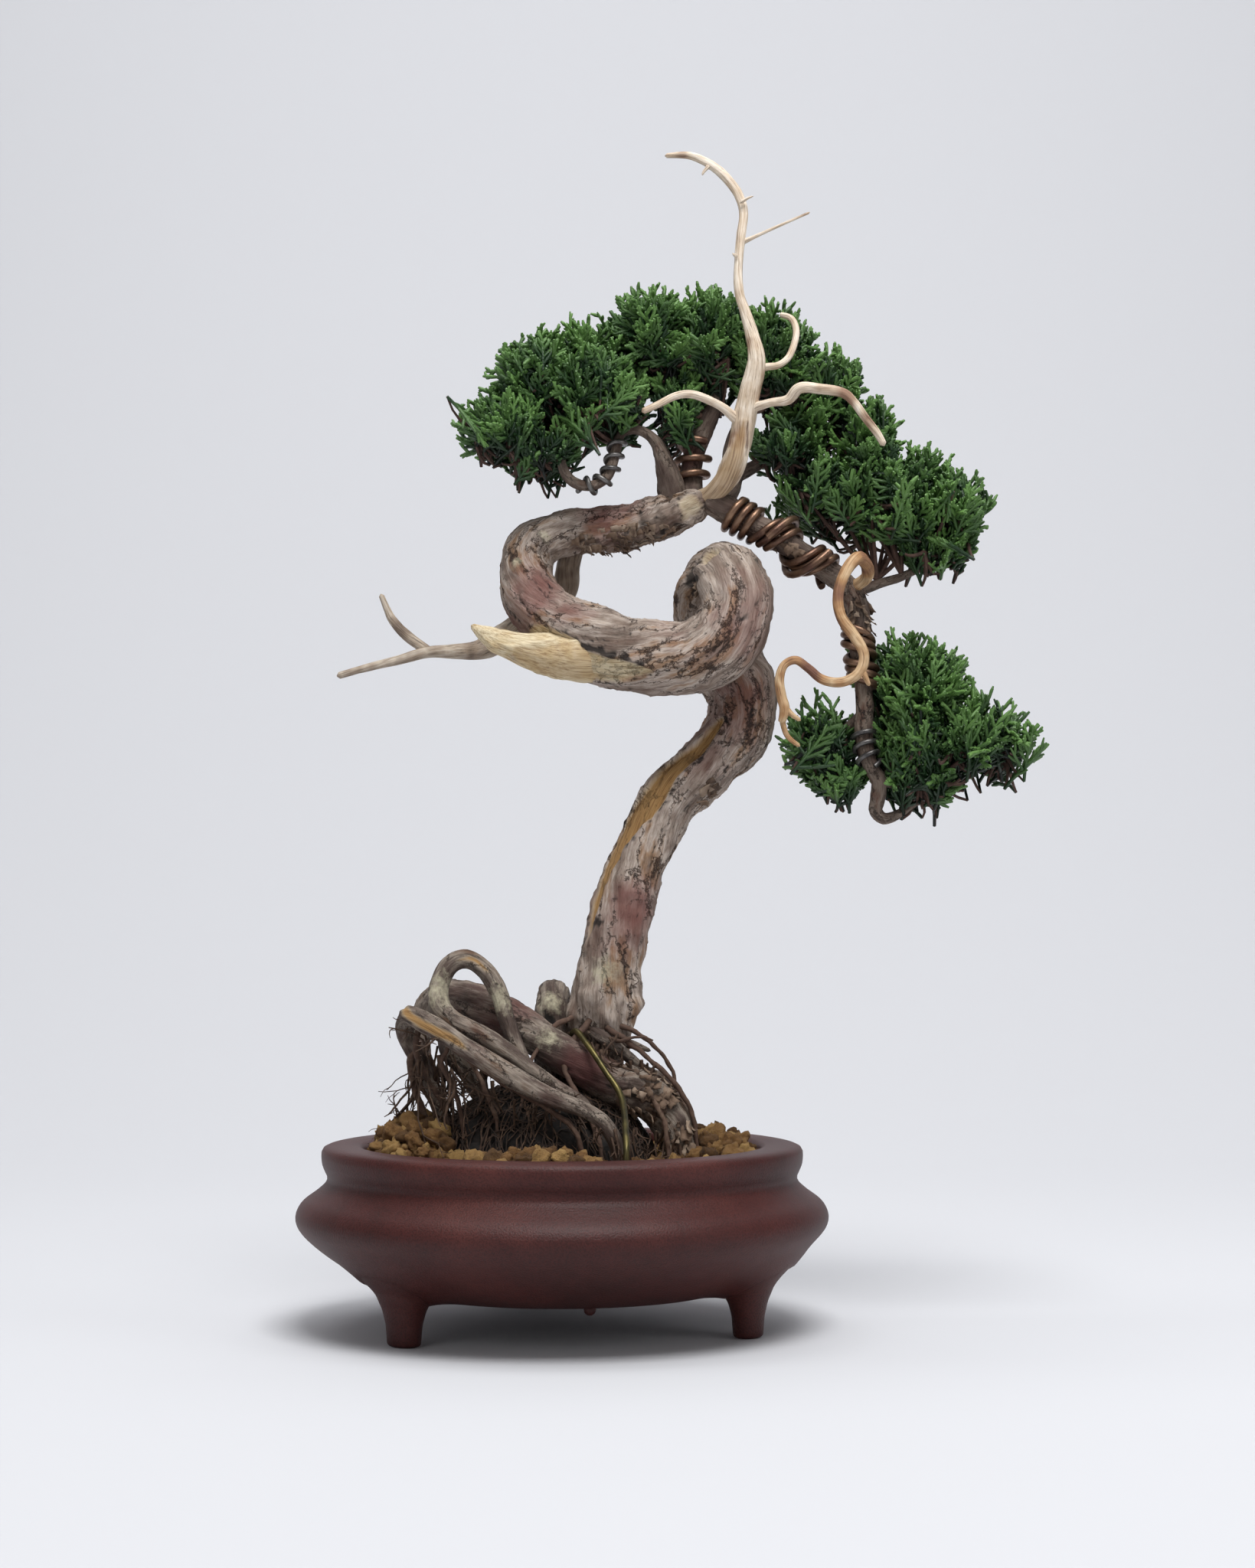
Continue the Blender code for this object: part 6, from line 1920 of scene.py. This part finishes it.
    def wandering(self, start: np.ndarray, heading: np.ndarray, length: float, girth: float, forks: int,
            rng: np.random.Generator) -> list[np.ndarray]:
        """A crooked fine root and the finer ones that fork from it.

        Args:
            start: where it begins.
            heading: the way it sets off.
            length: how long it is.
            girth: its half-width at the start.
            forks: how many times more it may fork.
            rng: the source of chance.

        Returns:
            The root and its forks as rows of x, y, z and half-width.
        """
        count = max(4, int(length / 2.0))
        turns = unit(heading + np.cumsum(rng.normal(size=(count, 3)) * 0.2,
                axis=0) + np.array([0, 0, -0.1]))
        line = start + np.vstack([[0, 0, 0], np.cumsum(turns, axis=0)]) * length / count
        line[:, 2] = np.maximum(line[:, 2], self.root_floor)
        found = [np.column_stack([line, np.linspace(girth, girth * 0.45, count + 1)])]
        if forks:
            for _ in range(rng.integers(1, 4)):
                at = rng.integers(1, count)
                away = unit(turns[at - 1] + 0.8 * rng.normal(size=3))
                shorter = length * rng.uniform(0.25, 0.5)
                found += self.wandering(line[at], away, shorter, girth * 0.6, forks - 1, rng)
        return found

    def build(self, cords: NodeTree, scatter: NodeTree) -> None:
        """Builds the filling and dresses the hidden pieces of the frame."""
        rng = np.random.default_rng(33)
        ride(self.mound().to_object("root_ball", self.mound_skin.made()), Slot.FIBRE, "root_ball")
        fibre = self.fibre.made()
        ride(self.matted_fibres(rng).grown("matted_roots", cords, fibre, sides=4), Slot.FIBRE)
        ride(self.hanging_fibres(rng).grown("hanging_roots", cords, fibre, sides=5), Slot.FIBRE)
        ride(self.side_roots().grown("side_roots", cords, self.side_root_bark.made(), sides=9),
            Slot.ROOT_BARK)

        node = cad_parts["akadama_layer"]
        grit = self.grit.made()
        for grade in self.grades:
            shapes = self.granule_shapes(f"{grade.name}_shapes", grade.fineness)
            mesh = node.data.copy()
            # Granules lie only on the faces that look up
            up = np.array([polygon.normal.z > 0.15 and polygon.center.z > 0.046
                    for polygon in mesh.polygons])
            attribute = mesh.attributes.new("density", "FLOAT", "FACE")
            attribute.data.foreach_set("value", up.astype(np.float32))
            values = {"Shapes": shapes, "Spacing": grade.spacing * MM, "Smallest": grade.smallest,
                "Largest": grade.largest, "Tumble": 1.0, "Raise": grade.lift * MM, "Seed": grade.seed,
                "Material": grit}
            ride(grown(grade.name, put(grade.name, mesh), scatter, values), Slot.GRIT)
        hidden = (("akadama_layer", self.grit_bed), ("soil_bed", self.soil), ("drain_screen", self.plastic),
            ("screen_clip", self.clip))
        for name, finish in hidden:
            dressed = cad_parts[name].data.materials
            dressed.clear()
            dressed.append(finish.made())


# ---------------------------------------------------------------- studio


@dataclass(frozen=True)
class Studio:
    """A pale seamless sweep, soft lights and the camera."""

    paper: str = "#cfd0d4"
    air: str = "#e6e7ea"
    air_strength: float = 0.27
    front: float = -3.0
    bend_start: float = 0.5
    bend_radius: float = 1.6
    wall_top: float = 3.4
    half_width: float = 4.0
    camera_place: tuple[float, float, float] = (20.8, -908.0, 131.0)
    camera_pitch: float = 2.708
    sensor: float = 36.0
    lens: float = 64.69

    def sweep(self) -> Object:
        """The paper: floor in front, curving up to a wall behind."""
        start, bend = self.bend_start, self.bend_radius
        rows = [(self.front, 0.0), (start, 0.0)]
        rows += [(start + bend * math.sin(a), bend - bend * math.cos(a)) for a in np.linspace(0.05,
                math.pi / 2, 24)]
        rows += [(start + bend, self.wall_top)]
        places = [(x, y, z) for y, z in rows for x in (-self.half_width, self.half_width)]
        faces = [(2 * i, 2 * i + 1, 2 * i + 3, 2 * i + 2) for i in range(len(rows) - 1)]
        mesh = bpy.data.meshes.new("paper_sweep")
        mesh.from_pydata(places, [], faces)
        mesh.shade_smooth()
        material, _, shader = new_material("matt_paper")
        shader.inputs["Base Color"].default_value = linear(self.paper)
        shader.inputs["Roughness"].default_value = 1.0
        mesh.materials.append(material)
        made = put("paper_sweep", mesh)
        return made

    def lamp(self, name: str, place: Sequence[float], aim: Sequence[float], size: float,
            watts: float) -> None:
        """A square soft lamp."""
        light = bpy.data.lights.new(name, "AREA")
        light.shape = "SQUARE"
        light.size = size
        light.energy = watts
        made = put(name, light)
        made.location = place
        made.rotation_euler = (Vector(aim) - Vector(place)).to_track_quat("-Z", "Y").to_euler()

    def build(self) -> None:
        """Builds the sweep, the lights and the camera."""
        self.sweep()
        self.lamp("overhead_softbox", (0.15, -0.65, 1.35), (0.0, 0.0, 0.2), 0.65, 17.0)
        self.lamp("front_softbox", (-0.9, -1.6, 0.9), (0.0, 0.0, 0.2), 0.9, 3.0)
        self.lamp("right_fill", (1.6, -0.9, 0.7), (0.0, 0.0, 0.2), 0.9, 3.0)
        self.lamp("paper_wash", (0.0, 0.6, 2.4), (0.0, 2.0, 1.0), 2.4, 43.0)
        scene = bpy.context.scene
        world = bpy.data.worlds.new("studio_air")
        world.use_nodes = True
        background = world.node_tree.nodes["Background"]
        background.inputs["Color"].default_value = linear(self.air)
        background.inputs["Strength"].default_value = self.air_strength
        scene.world = world
        scene.view_settings.view_transform = "Standard"
        camera = bpy.data.cameras.new("camera")
        camera.sensor_fit = "VERTICAL"
        camera.sensor_height = self.sensor
        camera.lens = self.lens
        made = put("camera", camera)
        made.location = tuple((np.array(self.camera_place) + AXIS) * MM)
        made.rotation_euler = (math.radians(90 + self.camera_pitch), 0.0, 0.0)
        scene.camera = made


def main() -> None:
    """Builds the studio and the bonsai, sub-assembly by sub-assembly."""
    logging.basicConfig(level=logging.INFO, format="%(name)s: %(message)s")
    Studio().build()
    cords, scatter = cord_tree(), scatter_tree()
    Pot().build()
    Planting().build(cords, scatter)
    LivingWood().build(scatter)
    Deadwood().build()
    Wiring().build(cords)
    Foliage().build(cords)


if __name__ == "__main__":
    main()
